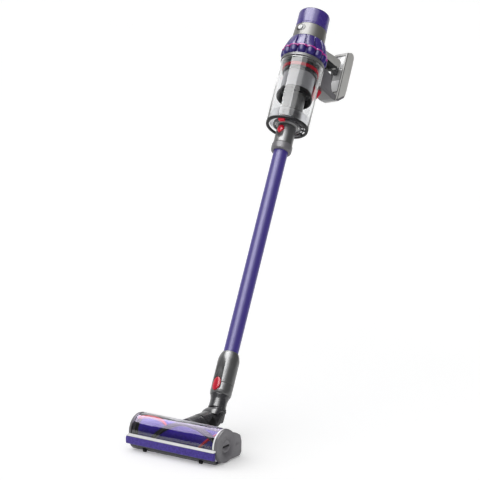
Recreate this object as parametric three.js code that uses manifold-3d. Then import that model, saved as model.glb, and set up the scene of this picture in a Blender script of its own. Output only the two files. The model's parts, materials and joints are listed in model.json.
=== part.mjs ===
// Cordless stick vacuum: a hand-held cyclone machine on a wand, with a powered floor head.
// Millimetres, +Z up. The head stands on its wheels and the stick leans back and to one side.
// The origin is the middle of the pistol grip, where a hand holds the machine.

import * as THREE from 'three';
import { mergeVertices } from 'three/addons/utils/BufferGeometryUtils.js';
import Module from 'manifold-3d';

const wasm = await Module();
wasm.setup();

// ---------------------------------------------------------------- driving dimensions

const LEAN_BACK = THREE.MathUtils.degToRad(39.2); // stick from vertical, towards the user
const LEAN_SIDE = THREE.MathUtils.degToRad(-13); // twist of the neck about the duct
const GAP = 0.3; // clearance between parts that touch
const ROUND = 24; // facets of a large turned part
const SMALL_ROUND = 16;

const HEAD_WIDTH = 250;
const CAP_THICKNESS = 6;
const CHAMBER_RADIUS = 39.5; // outside of the roller chamber
const CHAMBER_BORE = 37;
const CHAMBER_Z = 40.8;
const ROLLER_RADIUS = 30;
const BRISTLE_RADIUS = 35.8;
const SOLE_Z = 2.6;

const PIVOT_Y = 128; // neck hinge behind the roller
const PIVOT_Z = 50;
const DUCT_RADIUS = 27.5;
const DUCT_JOURNAL = 24;
const DUCT_END = -34; // rear end of the duct, before the hinge

const NECK_RADIUS = 20.5;
const NECK_START = 26; // stations along the stick, measured from the neck hinge
const COLLAR_START = 62;
const LOWER_CONNECTOR_START = 90;
const LOWER_CONNECTOR_SHOULDER = 158;
const LOWER_CONNECTOR_END = 175;
const LOWER_BUTTON = 85;
const CONNECTOR_RADIUS = 26;
const TUBE_RADIUS = 17.9;
const TUBE_BORE = 16.4;
const TUBE_START = 132;
const TUBE_END = 756;
const UPPER_CONNECTOR_START = 737;
const UPPER_CONNECTOR_RADIUS = 24;
const MACHINE_START = 808; // underside of the bin

const BIN_RADIUS = 54; // stations in the machine are measured from the bin's underside
const BIN_WALL = 2.2;
const BIN_TOP = 182.5;
const DUST_DUCT_RADIUS = 29;
const SHROUD_RADIUS = 43;
const SKIRT_RADIUS = 46.5;
const CROWN_RADIUS = 61;
const CYCLONES = 14;
const CUP_BOTTOM = 192;
const TRIM_Z = 213;
const CROWN_TOP = 253.3;
const HOUSING_RADIUS = 42.4;
const HOUSING_TOP = 291;
const FILTER_RADIUS = 40.4;
const FILTER_TOP = 339;

const HANDLE_HALF = 18; // half width of the handle and of the bin runner
const GRIP_HALF = 14;
const BATTERY_FRONT = 137.3; // distances from the machine's axis
const BATTERY_BACK = 170;
const BATTERY_HALF = 20.4;
const CELL_RADIUS = 9.1;
const CELL_LENGTH = 60;
const GRIP_POINT = new THREE.Vector3(0, 92, 254);

// ---------------------------------------------------------------- materials

function paint(color, roughness, metalness = 0) {
  return new THREE.MeshStandardMaterial({ color, roughness, metalness });
}

const MATERIAL = {
  purple: paint(0x4b2fa5, 0.3, 0.35),
  deepPurple: paint(0x35207f, 0.35, 0.1),
  silver: paint(0x8d8d8f, 0.35, 0.6),
  lightGrey: paint(0xa9a9ab, 0.45),
  darkGrey: paint(0x4c4c50, 0.4),
  black: paint(0x151517, 0.5),
  red: paint(0xc3122b, 0.3),
  clear: paint(0xdfe3ea, 0.05),
  white: paint(0xe8e8ea, 0.35),
  metal: paint(0xc4c4c8, 0.25, 0.9),
  velvet: paint(0x4a35a0, 0.9),
  copper: paint(0xb87333, 0.4, 0.8),
  board: paint(0x1d5a35, 0.6),
  pink: paint(0xc13a93, 0.35),
};

// ---------------------------------------------------------------- solids

// A closed geometry as a solid that can be joined and cut.
function solid(geometry) {
  const bare = geometry.index ? geometry.toNonIndexed() : geometry.clone();
  bare.deleteAttribute('normal');
  bare.deleteAttribute('uv');
  const merged = mergeVertices(bare, 1e-4);
  const index = merged.index.array;
  const triangles = [];
  for (let i = 0; i < index.length; i += 3) {
    const [a, b, c] = [index[i], index[i + 1], index[i + 2]];
    if (a !== b && b !== c && c !== a) triangles.push(a, b, c);
  }
  const build = (list) => new wasm.Manifold(new wasm.Mesh({
    numProp: 3,
    vertProperties: new Float32Array(merged.attributes.position.array),
    triVerts: new Uint32Array(list),
  }));
  const first = build(triangles);
  return first.volume() > 0 ? first : build(triangles.reverse());
}

function join(first, ...others) {
  return others.reduce((sum, other) => sum.add(other), first);
}

function cut(first, ...others) {
  return others.reduce((rest, other) => rest.subtract(other), first);
}

function piece(group, name, body, material) {
  const mesh = body.getMesh();
  const geometry = new THREE.BufferGeometry();
  geometry.setAttribute('position', new THREE.BufferAttribute(mesh.vertProperties, 3));
  geometry.setIndex(new THREE.BufferAttribute(mesh.triVerts, 1));
  geometry.computeVertexNormals();
  const part = new THREE.Mesh(geometry, material);
  part.name = name;
  group.add(part);
}

// A closed outline of [radius, z] points turned about Z.
function turnedGeometry(outline, facets = ROUND) {
  const points = [...outline, outline[0]].map(([radius, z]) => new THREE.Vector2(radius, z));
  return new THREE.LatheGeometry(points, facets).rotateX(Math.PI / 2);
}

function turned(outline, facets = ROUND) {
  return solid(turnedGeometry(outline, facets));
}

function tubeGeometry(outer, inner, from, to, facets = ROUND) {
  return turnedGeometry([[inner, from], [outer, from], [outer, to], [inner, to]], facets);
}

function tube(outer, inner, from, to, facets = ROUND) {
  return solid(tubeGeometry(outer, inner, from, to, facets));
}

function rodGeometry(radius, from, to, facets = SMALL_ROUND, endRadius = radius) {
  return new THREE.CylinderGeometry(endRadius, radius, to - from, facets)
    .rotateX(Math.PI / 2)
    .translate(0, 0, (from + to) / 2);
}

function rod(radius, from, to, facets = SMALL_ROUND) {
  return solid(rodGeometry(radius, from, to, facets));
}

function rodAlongX(radius, from, to, y, z, facets = SMALL_ROUND) {
  return solid(rodGeometry(radius, from, to, facets).rotateY(Math.PI / 2).translate(0, y, z));
}

function rodAlongY(radius, from, to, x, z, facets = ROUND) {
  return solid(rodGeometry(radius, from, to, facets).rotateX(-Math.PI / 2).translate(x, 0, z));
}

function block([x0, x1], [y0, y1], [z0, z1]) {
  const box = new THREE.BoxGeometry(x1 - x0, y1 - y0, z1 - z0);
  return solid(box.translate((x0 + x1) / 2, (y0 + y1) / 2, (z0 + z1) / 2));
}

// A side outline of [y, z] points, as thick as x0 to x1.
function slab(outline, x0, x1) {
  const shape = new THREE.Shape(outline.map(([y, z]) => new THREE.Vector2(y, z)));
  const geometry = new THREE.ExtrudeGeometry(shape, { depth: x1 - x0, bevelEnabled: false });
  const sideways = new THREE.Matrix4().makeBasis(
    new THREE.Vector3(0, 1, 0), new THREE.Vector3(0, 0, 1), new THREE.Vector3(1, 0, 0),
  );
  return solid(geometry.applyMatrix4(sideways).translate(x0, 0, 0));
}

// Points of an arc in the y-z plane; angles in degrees from +y towards +z.
function arc(y, z, radius, from, to, steps) {
  return Array.from({ length: steps + 1 }, (_, i) => {
    const angle = THREE.MathUtils.degToRad(from + ((to - from) * i) / steps);
    return [y + radius * Math.cos(angle), z + radius * Math.sin(angle)];
  });
}

function aroundAxis(count, make) {
  return Array.from({ length: count }, (_, i) => make((2 * Math.PI * (i + 0.5)) / count));
}

// ---------------------------------------------------------------- floor head

const HALF_INNER = HEAD_WIDTH / 2 - CAP_THICKNESS; // inner faces of the end caps
const CHAMBER_LENGTH = HALF_INNER - GAP;
const REAR_BACK = 68;
const WHEEL = { x: 70, y: 52, radius: 9.3, width: 10 };
const CASTER = { x: 80, y: -36, radius: 4.8, width: 9 };
const LOCK_RADIUS = 15;

function chamberArc(radius, from, to, steps) {
  return arc(0, CHAMBER_Z, radius, from, to, steps);
}

function rearOutline() {
  return [[49, 60], [63, 52], [REAR_BACK, 36], [REAR_BACK - 1, 10], [62, 5.6]];
}

function wheelPockets(wheel, clearance) {
  return [-1, 1].map((side) => block(
    [side * wheel.x - wheel.width / 2 - clearance, side * wheel.x + wheel.width / 2 + clearance],
    [wheel.y - wheel.radius - clearance, wheel.y + wheel.radius + clearance],
    [-5, wheel.radius * 2 + clearance],
  ));
}

function headHousing() {
  const outline = [
    ...chamberArc(CHAMBER_RADIUS, 78, 42, 4),
    ...rearOutline(),
    [20, 5.6],
    ...chamberArc(CHAMBER_BORE, -62, 78, 12),
  ];
  const shell = slab(outline, -CHAMBER_LENGTH, CHAMBER_LENGTH);
  const collar = rodAlongY(DUCT_RADIUS + 1, 20, 64, 0, PIVOT_Z);
  const bore = rodAlongY(DUCT_JOURNAL + 0.5, 20, 66, 0, PIVOT_Z);
  const flangeSeat = rodAlongY(DUCT_RADIUS + 0.8, 64.2, 80, 0, PIVOT_Z);
  const chamber = rodAlongX(CHAMBER_BORE, -130, 130, 0, CHAMBER_Z, 40);
  return cut(join(shell, collar), chamber, bore, flangeSeat, ...wheelPockets(WHEEL, 1.2));
}

function headWindow() {
  const outline = [
    ...chamberArc(CHAMBER_RADIUS, 78.8, 177, 12),
    ...chamberArc(CHAMBER_BORE + GAP, 177, 78.8, 12),
  ];
  return slab(outline, -CHAMBER_LENGTH, CHAMBER_LENGTH);
}

function endCapOutline() {
  return [
    ...chamberArc(CHAMBER_RADIUS, 42, 232, 14),
    [-21, SOLE_Z + 0.6],
    [60, SOLE_Z + 0.6],
    ...rearOutline().reverse().slice(1),
  ];
}

function endCap(side) {
  const from = side > 0 ? HALF_INNER : -HEAD_WIDTH / 2;
  return slab(endCapOutline(), from, from + CAP_THICKNESS);
}

function endCapWithLock() {
  return cut(endCap(1), rodAlongX(LOCK_RADIUS + 0.5, HALF_INNER - 2, HEAD_WIDTH, 0, CHAMBER_Z, 28));
}

function endCapLock() {
  const face = HEAD_WIDTH / 2;
  const slot = block([face - 2.2, face + 2], [-12.5, 12.5], [CHAMBER_Z - 2, CHAMBER_Z + 2]);
  return cut(rodAlongX(LOCK_RADIUS, HALF_INNER + 0.2, face, 0, CHAMBER_Z, 28), slot);
}

function solePlate() {
  const front = slab([
    [-41.7, 14], [-39, 9], [-34, 4.4], [-31, 4.4], [-31, 8], [-33, 12], [-38.6, 16],
    [-38.6, 35.2], [-41.7, 35.2],
  ], -CHAMBER_LENGTH, CHAMBER_LENGTH);
  const plate = block([-CHAMBER_LENGTH, CHAMBER_LENGTH], [-33, 64], [SOLE_Z + 0.4, 5.3]);
  const mouth = block([-110, 110], [-31.5, 17], [0, 12]);
  return cut(join(plate, front), mouth, ...wheelPockets(WHEEL, 1.2), ...wheelPockets(CASTER, 0.6));
}

function bumperStrip() {
  return slab([
    [-50.5, 19], [-51, 33], [-48.5, 35.2], [-42, 35.2], [-42, 16.5], [-48, 16.5],
  ], -HEAD_WIDTH / 2, HEAD_WIDTH / 2);
}

function lipTrim() {
  return slab([
    [-48.6, 35.6], [-39.8, 35.6], [-39.8, 39.6], [-41.2, 39.6], [-42.2, 37.6], [-48.2, 37],
  ], -HEAD_WIDTH / 2, HEAD_WIDTH / 2);
}

function rollerCore() {
  const drum = rodAlongX(ROLLER_RADIUS, -114, 114, 0, CHAMBER_Z, ROUND);
  const motorBore = rodAlongX(24, -120, -8, 0, CHAMBER_Z, 24);
  const hub = rodAlongX(5, 110, 118.4, 0, CHAMBER_Z, 12);
  return cut(join(drum, hub), motorBore);
}

// A strip that winds along the roller, from start degrees through turn degrees.
function rollerStrip(start, turn, width) {
  const length = 214;
  const root = ROLLER_RADIUS + 0.9;
  const strip = new THREE.BoxGeometry(length, width, BRISTLE_RADIUS - root, 20, 1, 1);
  strip.translate(0, 0, (BRISTLE_RADIUS + root) / 2);
  const position = strip.attributes.position;
  const point = new THREE.Vector3();
  const axis = new THREE.Vector3(1, 0, 0);
  for (let i = 0; i < position.count; i += 1) {
    point.fromBufferAttribute(position, i);
    const degrees = start + turn * (point.x / length + 0.5);
    point.applyAxisAngle(axis, THREE.MathUtils.degToRad(degrees));
    position.setXYZ(i, point.x, point.y, point.z);
  }
  return solid(strip.translate(0, 0, CHAMBER_Z));
}

function brushMotor() {
  const can = rodAlongX(21.5, -111, -22, 0, CHAMBER_Z, 24);
  const mount = rodAlongX(12, -CHAMBER_LENGTH, -110, 0, CHAMBER_Z, 24);
  return join(can, mount);
}

function wheel({ x, y, radius, width }, side) {
  return rodAlongX(radius, side * x - width / 2, side * x + width / 2, y, radius, SMALL_ROUND);
}

function addHead(group) {
  piece(group, 'head_housing', headHousing(), MATERIAL.darkGrey);
  piece(group, 'head_window', headWindow(), MATERIAL.clear);
  piece(group, 'head_end_cap_right', endCapWithLock(), MATERIAL.darkGrey);
  piece(group, 'head_end_cap_left', endCap(-1), MATERIAL.darkGrey);
  piece(group, 'end_cap_lock', endCapLock(), MATERIAL.darkGrey);
  piece(group, 'head_sole_plate', solePlate(), MATERIAL.black);
  piece(group, 'head_bumper_strip', bumperStrip(), MATERIAL.velvet);
  piece(group, 'head_lip_trim', lipTrim(), MATERIAL.lightGrey);
  piece(group, 'roller_core', rollerCore(), MATERIAL.purple);
  piece(group, 'roller_bristle_strip', rollerStrip(20, 200, 8), MATERIAL.black);
  piece(group, 'roller_filament_strip', rollerStrip(200, 200, 5), MATERIAL.red);
  piece(group, 'brush_motor', brushMotor(), MATERIAL.metal);
  [['left', -1], ['right', 1]].forEach(([word, side]) => {
    piece(group, `rear_wheel_${word}`, wheel(WHEEL, side), MATERIAL.black);
    piece(group, `front_roller_${word}`, wheel(CASTER, side), MATERIAL.black);
  });
}

// ---------------------------------------------------------------- duct, hose and neck

const ARM_IN = 25.6; // the duct's two arms hold the neck between them
const ARM_OUT = 29.6;
const YOKE_HALF = 25.2; // half width of the neck's own arms and cowl
const STUD_RADIUS = 5;
const HOSE_RADIUS = 20.8;
const HOSE_BORE = 18.6;
const AIRWAY_RADIUS = 16.6;

function elbowDuct() {
  const journalEnd = 64.5 - PIVOT_Y;
  const outline = [
    [20, 42 - PIVOT_Y], [DUCT_JOURNAL, 42 - PIVOT_Y], [DUCT_JOURNAL, journalEnd],
    [DUCT_RADIUS, journalEnd], [DUCT_RADIUS + 0.5, DUCT_END - 6], [26.5, DUCT_END], [20, DUCT_END],
  ];
  const barrel = solid(turnedGeometry(outline).rotateX(-Math.PI / 2));
  const side = [[DUCT_END - 4, 10.5], ...arc(0, 0, 10, 90, -90, 8), [DUCT_END - 4, -5]];
  const arms = [slab(side, ARM_IN, ARM_OUT), slab(side, -ARM_OUT, -ARM_IN)];
  return cut(join(barrel, ...arms), rodAlongX(STUD_RADIUS + 0.5, -40, 40, 0, 0));
}

// The hose bends at the hinge, from the duct's end to the neck's base.
function hose() {
  const end = NECK_START - 0.5;
  const path = new THREE.QuadraticBezierCurve3(
    new THREE.Vector3(0, DUCT_END + 0.5, 0),
    new THREE.Vector3(0, 0, 0),
    new THREE.Vector3(0, end * Math.sin(LEAN_BACK), end * Math.cos(LEAN_BACK)),
  );
  const section = new THREE.Shape();
  section.absarc(0, 0, HOSE_RADIUS, 0, 2 * Math.PI);
  const bore = new THREE.Path();
  bore.absarc(0, 0, HOSE_BORE, 0, 2 * Math.PI);
  section.holes.push(bore);
  return solid(new THREE.ExtrudeGeometry(section, { steps: 8, extrudePath: path, curveSegments: 6 }));
}

function neckTube() {
  const barrel = turned([
    [AIRWAY_RADIUS, NECK_START], [YOKE_HALF, NECK_START], [YOKE_HALF, NECK_START + 4],
    [NECK_RADIUS, NECK_START + 9], [NECK_RADIUS, COLLAR_START - 8],
    [23.5, COLLAR_START - GAP], [AIRWAY_RADIUS, COLLAR_START - GAP],
  ]);
  const side = [[10, NECK_START + 3], [-10, NECK_START + 3], ...arc(0, 0, 10, 180, 360, 8)];
  const inside = HOSE_RADIUS + 1;
  const arms = [slab(side, inside, YOKE_HALF), slab(side, -YOKE_HALF, -inside)];
  const studs = [
    rodAlongX(STUD_RADIUS, inside + 1, ARM_OUT, 0, 0), rodAlongX(STUD_RADIUS, -ARM_OUT, -inside - 1, 0, 0),
  ];
  const cowl = slab(
    [...arc(0, 0, 32.5, 62, 160, 10), ...arc(0, 0, 29.5, 160, 62, 10)], -YOKE_HALF, YOKE_HALF,
  );
  const airway = rod(AIRWAY_RADIUS, NECK_START - 1, COLLAR_START, ROUND);
  const hoseEnd = rod(HOSE_RADIUS + 1, 0, NECK_START, ROUND);
  return join(cut(cowl, airway, hoseEnd), barrel, ...arms, ...studs);
}

function neckCollar() {
  const outline = [
    [19.4, COLLAR_START], [24, COLLAR_START], [25.6, COLLAR_START + 6],
    [CONNECTOR_RADIUS, LOWER_CONNECTOR_START - GAP], [19.4, LOWER_CONNECTOR_START - GAP],
  ];
  return cut(turned(outline), block([-14.5, 14.5], [-40, -5], [COLLAR_START + 4.7, 100]));
}

// ---------------------------------------------------------------- wand

const LOWER_BUTTON_HALF = { x: 9, z: 17 };
const UPPER_BUTTON_HALF = { x: 8, z: 11 };
const UPPER_BUTTON = -15;

// An oval release button in the front of a connector; it moves in towards the axis.
function ovalButton(half, z, front, depth, grow = 0) {
  const oval = new THREE.Shape();
  oval.absellipse(0, 0, half.x + grow, half.z + grow, 0, 2 * Math.PI);
  const geometry = new THREE.ExtrudeGeometry(oval, { depth, bevelEnabled: false, curveSegments: 10 });
  return solid(geometry.rotateX(Math.PI / 2).translate(0, front + depth, z));
}

function lowerConnector() {
  const shell = turned([
    [15.5, LOWER_CONNECTOR_START], [CONNECTOR_RADIUS, LOWER_CONNECTOR_START],
    [CONNECTOR_RADIUS, LOWER_CONNECTOR_SHOULDER], [19.6, LOWER_CONNECTOR_END],
    [TUBE_RADIUS + GAP, LOWER_CONNECTOR_END], [TUBE_RADIUS + GAP, TUBE_START - GAP],
    [15.5, TUBE_START - GAP],
  ]);
  const spigot = tube(19, 15.5, COLLAR_START + 3, LOWER_CONNECTOR_START + 1);
  const front = cut(
    tube(CONNECTOR_RADIUS, 15.5, COLLAR_START + 5, LOWER_CONNECTOR_START + 1),
    block([-40, -14.2], [-40, 40], [0, 200]),
    block([14.2, 40], [-40, 40], [0, 200]),
    block([-40, 40], [-10, 40], [0, 200]),
  );
  const pocket = ovalButton(LOWER_BUTTON_HALF, LOWER_BUTTON, -CONNECTOR_RADIUS - 4, 13, 0.5);
  return cut(join(shell, spigot, front), pocket);
}

function lowerButton() {
  return ovalButton(LOWER_BUTTON_HALF, LOWER_BUTTON, -CONNECTOR_RADIUS - 1.5, 6.5);
}

function upperConnector() {
  const top = MACHINE_START - 2;
  const shell = turned([
    [15.5, TUBE_END + GAP], [TUBE_RADIUS + GAP, TUBE_END + GAP],
    [TUBE_RADIUS + GAP, UPPER_CONNECTOR_START], [24.5, UPPER_CONNECTOR_START],
    [26, UPPER_CONNECTOR_START + 4], [26, UPPER_CONNECTOR_START + 18],
    [UPPER_CONNECTOR_RADIUS, UPPER_CONNECTOR_START + 22], [UPPER_CONNECTOR_RADIUS, top],
    [20.4, top], [20.4, top + 30], [15.5, top + 30],
  ]);
  const z = MACHINE_START + UPPER_BUTTON;
  return cut(shell, ovalButton(UPPER_BUTTON_HALF, z, -UPPER_CONNECTOR_RADIUS - 4, 10.5, 0.5));
}

function upperButton() {
  const z = MACHINE_START + UPPER_BUTTON;
  return ovalButton(UPPER_BUTTON_HALF, z, -UPPER_CONNECTOR_RADIUS - 3, 6.5);
}

function addWand(group) {
  piece(group, 'wand_tube', tube(TUBE_RADIUS, TUBE_BORE, TUBE_START, TUBE_END), MATERIAL.purple);
  piece(group, 'wand_lower_connector', lowerConnector(), MATERIAL.silver);
  piece(group, 'wand_lower_button', lowerButton(), MATERIAL.red);
  piece(group, 'wand_upper_connector', upperConnector(), MATERIAL.silver);
  piece(group, 'wand_upper_button', upperButton(), MATERIAL.red);
}

// ---------------------------------------------------------------- dust bin and shroud

function addBin(group) {
  const inner = BIN_RADIUS - BIN_WALL;
  piece(group, 'clear_bin', tube(BIN_RADIUS, inner, 6, BIN_TOP), MATERIAL.clear);
  const seal = turned([[47, 0.5], [53, 0.5], [54, 2], [54, 5.7], [47, 5.7]]);
  piece(group, 'bin_base_seal', seal, MATERIAL.black);
  const base = turned([[31, 6], [inner - GAP, 6], [inner - GAP, 10], [40, 11.5], [31, 9]]);
  piece(group, 'bin_base', base, MATERIAL.clear);
  const latch = slab([[-45.4, 5.7], [-45.4, 1], [-42, -2.5], [-34, -2.5], [-34, 1.5], [-40, 5.7]], -6, 6);
  piece(group, 'bin_base_latch', latch, MATERIAL.red);
}

function addShroud(group) {
  const rim = turned([
    [40, 176.5], [50, 176.5], [51.2, 179.5], [51.2, 183.5], [56, 184.5], [56, 191.6], [40, 191.6],
  ]);
  piece(group, 'bin_rim', rim, MATERIAL.silver);
  const collar = turned([
    [38, 153], [45, 153], [45, 161.2], [42, 161.2], [42, 169.8], [47, 169.8], [49, 176.1], [38, 176.1],
  ]);
  piece(group, 'shroud_collar', collar, MATERIAL.black);
  piece(group, 'shroud_seal', tube(47.3, 42.4, 161.6, 169.4), MATERIAL.red);
  piece(group, 'shroud_mesh', tube(SHROUD_RADIUS, 41, 112, 152.7), MATERIAL.metal);
  const skirt = turned([
    [38.5, 111.7], [42.5, 111.7], [SKIRT_RADIUS, 91], [SKIRT_RADIUS - 1, 84],
    [SKIRT_RADIUS - 3.5, 84], [43.4, 91], [40, 108], [38.5, 108],
  ]);
  piece(group, 'shroud_skirt', skirt, MATERIAL.black);
  const duct = turned([
    [21.5, 1], [27.5, 1], [DUST_DUCT_RADIUS, 4], [DUST_DUCT_RADIUS, 104],
    [38, 112.4], [38, 150], [34, 150], [34, 114], [24, 104], [21.5, 40],
  ]);
  piece(group, 'inlet_duct', duct, MATERIAL.lightGrey);
}

// ---------------------------------------------------------------- cyclones and motor

// Everything that the handle's root passes through is cut clear of it.
function handleClearance() {
  const reach = HANDLE_HALF + GAP;
  return block([-reach, reach], [44.7, 80], [235.6, 280]);
}

function cycloneCrown() {
  const core = turned([[36.5, TRIM_Z + 2.8], [53, TRIM_Z + 2.8], [43, CROWN_TOP], [36.5, CROWN_TOP]]);
  const height = CROWN_TOP - TRIM_Z - 2.8;
  const tilt = Math.atan2(13.5, height);
  const vanes = aroundAxis(CYCLONES, (angle) => solid(
    rodGeometry(10, -height / 2 - 4, height / 2 + 3, 8, 6.5)
      .rotateY(-tilt).translate(43.5, 0, CROWN_TOP - height / 2).rotateZ(angle),
  ));
  const trim = tube(80, 36.5, TRIM_Z + 2.8, CROWN_TOP, 8);
  return cut(join(core, ...vanes).intersect(trim), handleClearance());
}

function cycloneCups() {
  const ring = tube(49, 38.5, CUP_BOTTOM + 2, TRIM_Z - GAP);
  const cups = aroundAxis(CYCLONES, (angle) => solid(
    new THREE.LatheGeometry([
      new THREE.Vector2(0, CUP_BOTTOM), new THREE.Vector2(5, CUP_BOTTOM + 0.6),
      new THREE.Vector2(9, CUP_BOTTOM + 5), new THREE.Vector2(10.4, CUP_BOTTOM + 14),
      new THREE.Vector2(10, TRIM_Z - GAP), new THREE.Vector2(0, TRIM_Z - GAP),
    ], 8).rotateX(Math.PI / 2).translate(CROWN_RADIUS - 10.4, 0, 0).rotateZ(angle),
  ));
  const bore = rod(38.5, 100, 300, ROUND);
  return cut(join(ring, ...cups), bore);
}

function trimRing() {
  return tube(59.3, 39, TRIM_Z, TRIM_Z + 2.5);
}

function motorHousing() {
  const shell = turned([
    [38.4, CROWN_TOP + GAP], [HOUSING_RADIUS, CROWN_TOP + GAP],
    [HOUSING_RADIUS - 1.4, HOUSING_TOP], [38.4, HOUSING_TOP],
  ]);
  const sliderSlot = block([-9.2, 9.2], [-60, -30], [273.2, 278.8]);
  return cut(shell, sliderSlot);
}

function motorCan() {
  return turned([
    [3.4, 238], [21, 238], [21, 281.5], [38.1, 281.5], [38.1, 284.5], [18.6, 284.5],
    [18.6, 240.4], [3.4, 240.4],
  ], 24);
}

function motorRotor() {
  const shaft = rod(2.8, 234, 298, 12);
  const magnet = rod(9, 246, 268, 16);
  const hub = solid(rodGeometry(12, 286, 296, 16, 4));
  const blades = aroundAxis(9, (angle) => solid(
    new THREE.BoxGeometry(13, 1.4, 9).rotateX(0.5).translate(9.5, 0, 290.5).rotateZ(angle),
  ));
  return join(shaft, magnet, hub, ...blades);
}

function modeSlider() {
  const stem = block([-2.4, 2.4], [-43.4, -36.5], [273.7, 278.3]);
  return join(stem, rodAlongY(6.5, -45, -42.8, 0, 276, SMALL_ROUND));
}

function filterCap() {
  return turned([
    [37, HOUSING_TOP + 0.5], [FILTER_RADIUS, HOUSING_TOP + 0.5], [FILTER_RADIUS - 0.3, FILTER_TOP - 5],
    [FILTER_RADIUS - 3, FILTER_TOP - 1.2], [0, FILTER_TOP], [0, FILTER_TOP - 3], [37, FILTER_TOP - 4],
  ]);
}

function filterPleats() {
  const pleats = 24;
  const star = new THREE.Shape(Array.from({ length: pleats * 2 }, (_, i) => {
    const radius = i % 2 ? 28 : 35;
    const angle = (Math.PI * i) / pleats;
    return new THREE.Vector2(radius * Math.cos(angle), radius * Math.sin(angle));
  }));
  const bore = new THREE.Path();
  bore.absarc(0, 0, 23.5, 0, 2 * Math.PI);
  star.holes.push(bore);
  const geometry = new THREE.ExtrudeGeometry(star, { depth: 43, bevelEnabled: false, curveSegments: 10 });
  return solid(geometry.translate(0, 0, 288));
}

function addMotor(group) {
  piece(group, 'cyclone_crown', cycloneCrown(), MATERIAL.purple);
  piece(group, 'cyclone_cups', cycloneCups(), MATERIAL.deepPurple);
  piece(group, 'crown_trim_ring', trimRing(), MATERIAL.pink);
  piece(group, 'motor_housing', motorHousing(), MATERIAL.silver);
  piece(group, 'motor_can', motorCan(), MATERIAL.metal);
  piece(group, 'motor_rotor', motorRotor(), MATERIAL.copper);
  piece(group, 'control_board', tube(34, 5, 222, 223.6, 24), MATERIAL.board);
  piece(group, 'mode_slider', modeSlider(), MATERIAL.white);
  piece(group, 'filter_cap', filterCap(), MATERIAL.purple);
  piece(group, 'filter_pleats', filterPleats(), MATERIAL.white);
}

// ---------------------------------------------------------------- handle and battery

const TRIGGER_PIN = { y: 109, z: 251, radius: 1.6 };

// Side outlines, as [distance from the machine's axis, z].
const ARM_SIDE = [
  [43, 262], [62, 265], [108, 274], [114, 272], [116, 262], [116, 242], [77, 237.5], [45, 236],
  [45, 254], [43, 254],
];
const GRIP_SIDE = [[104, 273], [124, 269.5], [BATTERY_FRONT - 0.4, 262], [BATTERY_FRONT - 0.4, 228],
  [118, 238], [104, 240]];
const HANDLE_HOLLOW = [[49, 258], [104, 269], [110, 266], [110, 246], [77, 241], [49, 239.5]];
const TRIGGER_SIDE = [[84, 247], [112, 254.5], [114, 249], [108, 235.5], [96, 231], [86, 231], [83, 235.5]];
const TRIGGER_ROOM = [[79.5, 255], [114, 263], [115.5, 249], [110, 230], [95, 220], [79.5, 220]];
const RUNNER_SIDE = [
  [56.5, 159], [56.5, 190.6], [62.6, 191.4], [62.6, 211], [66, 216], [74, 218], [90, 218], [97, 216],
  [101, 209], [111, 186], [116, 178], [BATTERY_FRONT - 0.4, 178], [BATTERY_FRONT - 0.4, 163], [120, 159],
];
const BATTERY_SIDE = [
  [BATTERY_FRONT, 164.5], [146, 166], [167, 189], [BATTERY_BACK, 197], [BATTERY_BACK, 311],
  [166, 318.5], [157, 321.5], [BATTERY_FRONT, 309.5],
];
const BATTERY_HOLLOW = [
  [139.9, 168], [145, 168.8], [165, 190.5], [167.6, 198], [167.6, 310], [164.5, 316], [157, 318.8],
  [139.9, 308.3],
];

function handleShell(side) {
  const [inner, outer] = [GAP / 2, HANDLE_HALF];
  const span = (from, to) => (side > 0 ? [from, to] : [-to, -from]);
  const arm = slab(ARM_SIDE, ...span(inner, outer));
  const grip = slab(GRIP_SIDE, ...span(inner, GRIP_HALF));
  const hollow = slab(HANDLE_HOLLOW, ...span(-1, outer - 3));
  const room = slab(TRIGGER_ROOM, ...span(-1, 8));
  const pinHole = rodAlongX(TRIGGER_PIN.radius + 0.2, -12.5, 12.5, TRIGGER_PIN.y, TRIGGER_PIN.z, 12);
  const boss = slab([[105, 246], [115, 246], [115, 256], [105, 256]], ...span(8.2, outer - 2));
  return cut(join(cut(join(arm, grip), hollow), boss), room, pinHole);
}

function trigger() {
  const body = slab(TRIGGER_SIDE, -7.2, 7.2);
  return cut(body, rodAlongX(TRIGGER_PIN.radius + 0.15, -20, 20, TRIGGER_PIN.y, TRIGGER_PIN.z, 12));
}

function binRunner() {
  const body = slab(RUNNER_SIDE, -HANDLE_HALF, HANDLE_HALF);
  const leverChannel = block([-6.6, 6.6], [50, 68.6], [150, 197.6]);
  const contactPocket = block([-8.3, 8.3], [122.7, 133.3], [150, 167.3]);
  return cut(body, leverChannel, contactPocket);
}

function releaseLever() {
  const thumb = slab([[57.2, 158.6], [57.2, 126], [62, 120], [69, 121], [84, 149], [86, 158.6]], -11, 11);
  const stem = block([-6, 6], [58, 68], [158, 184]);
  return join(thumb, stem);
}

function batteryCase() {
  const body = slab(BATTERY_SIDE, -BATTERY_HALF, BATTERY_HALF);
  const hollow = slab(BATTERY_HOLLOW, -BATTERY_HALF + 2, BATTERY_HALF - 2);
  const mouth = block([-17, 17], [130, 142], [190, 302]);
  return cut(body, hollow, mouth);
}

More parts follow.
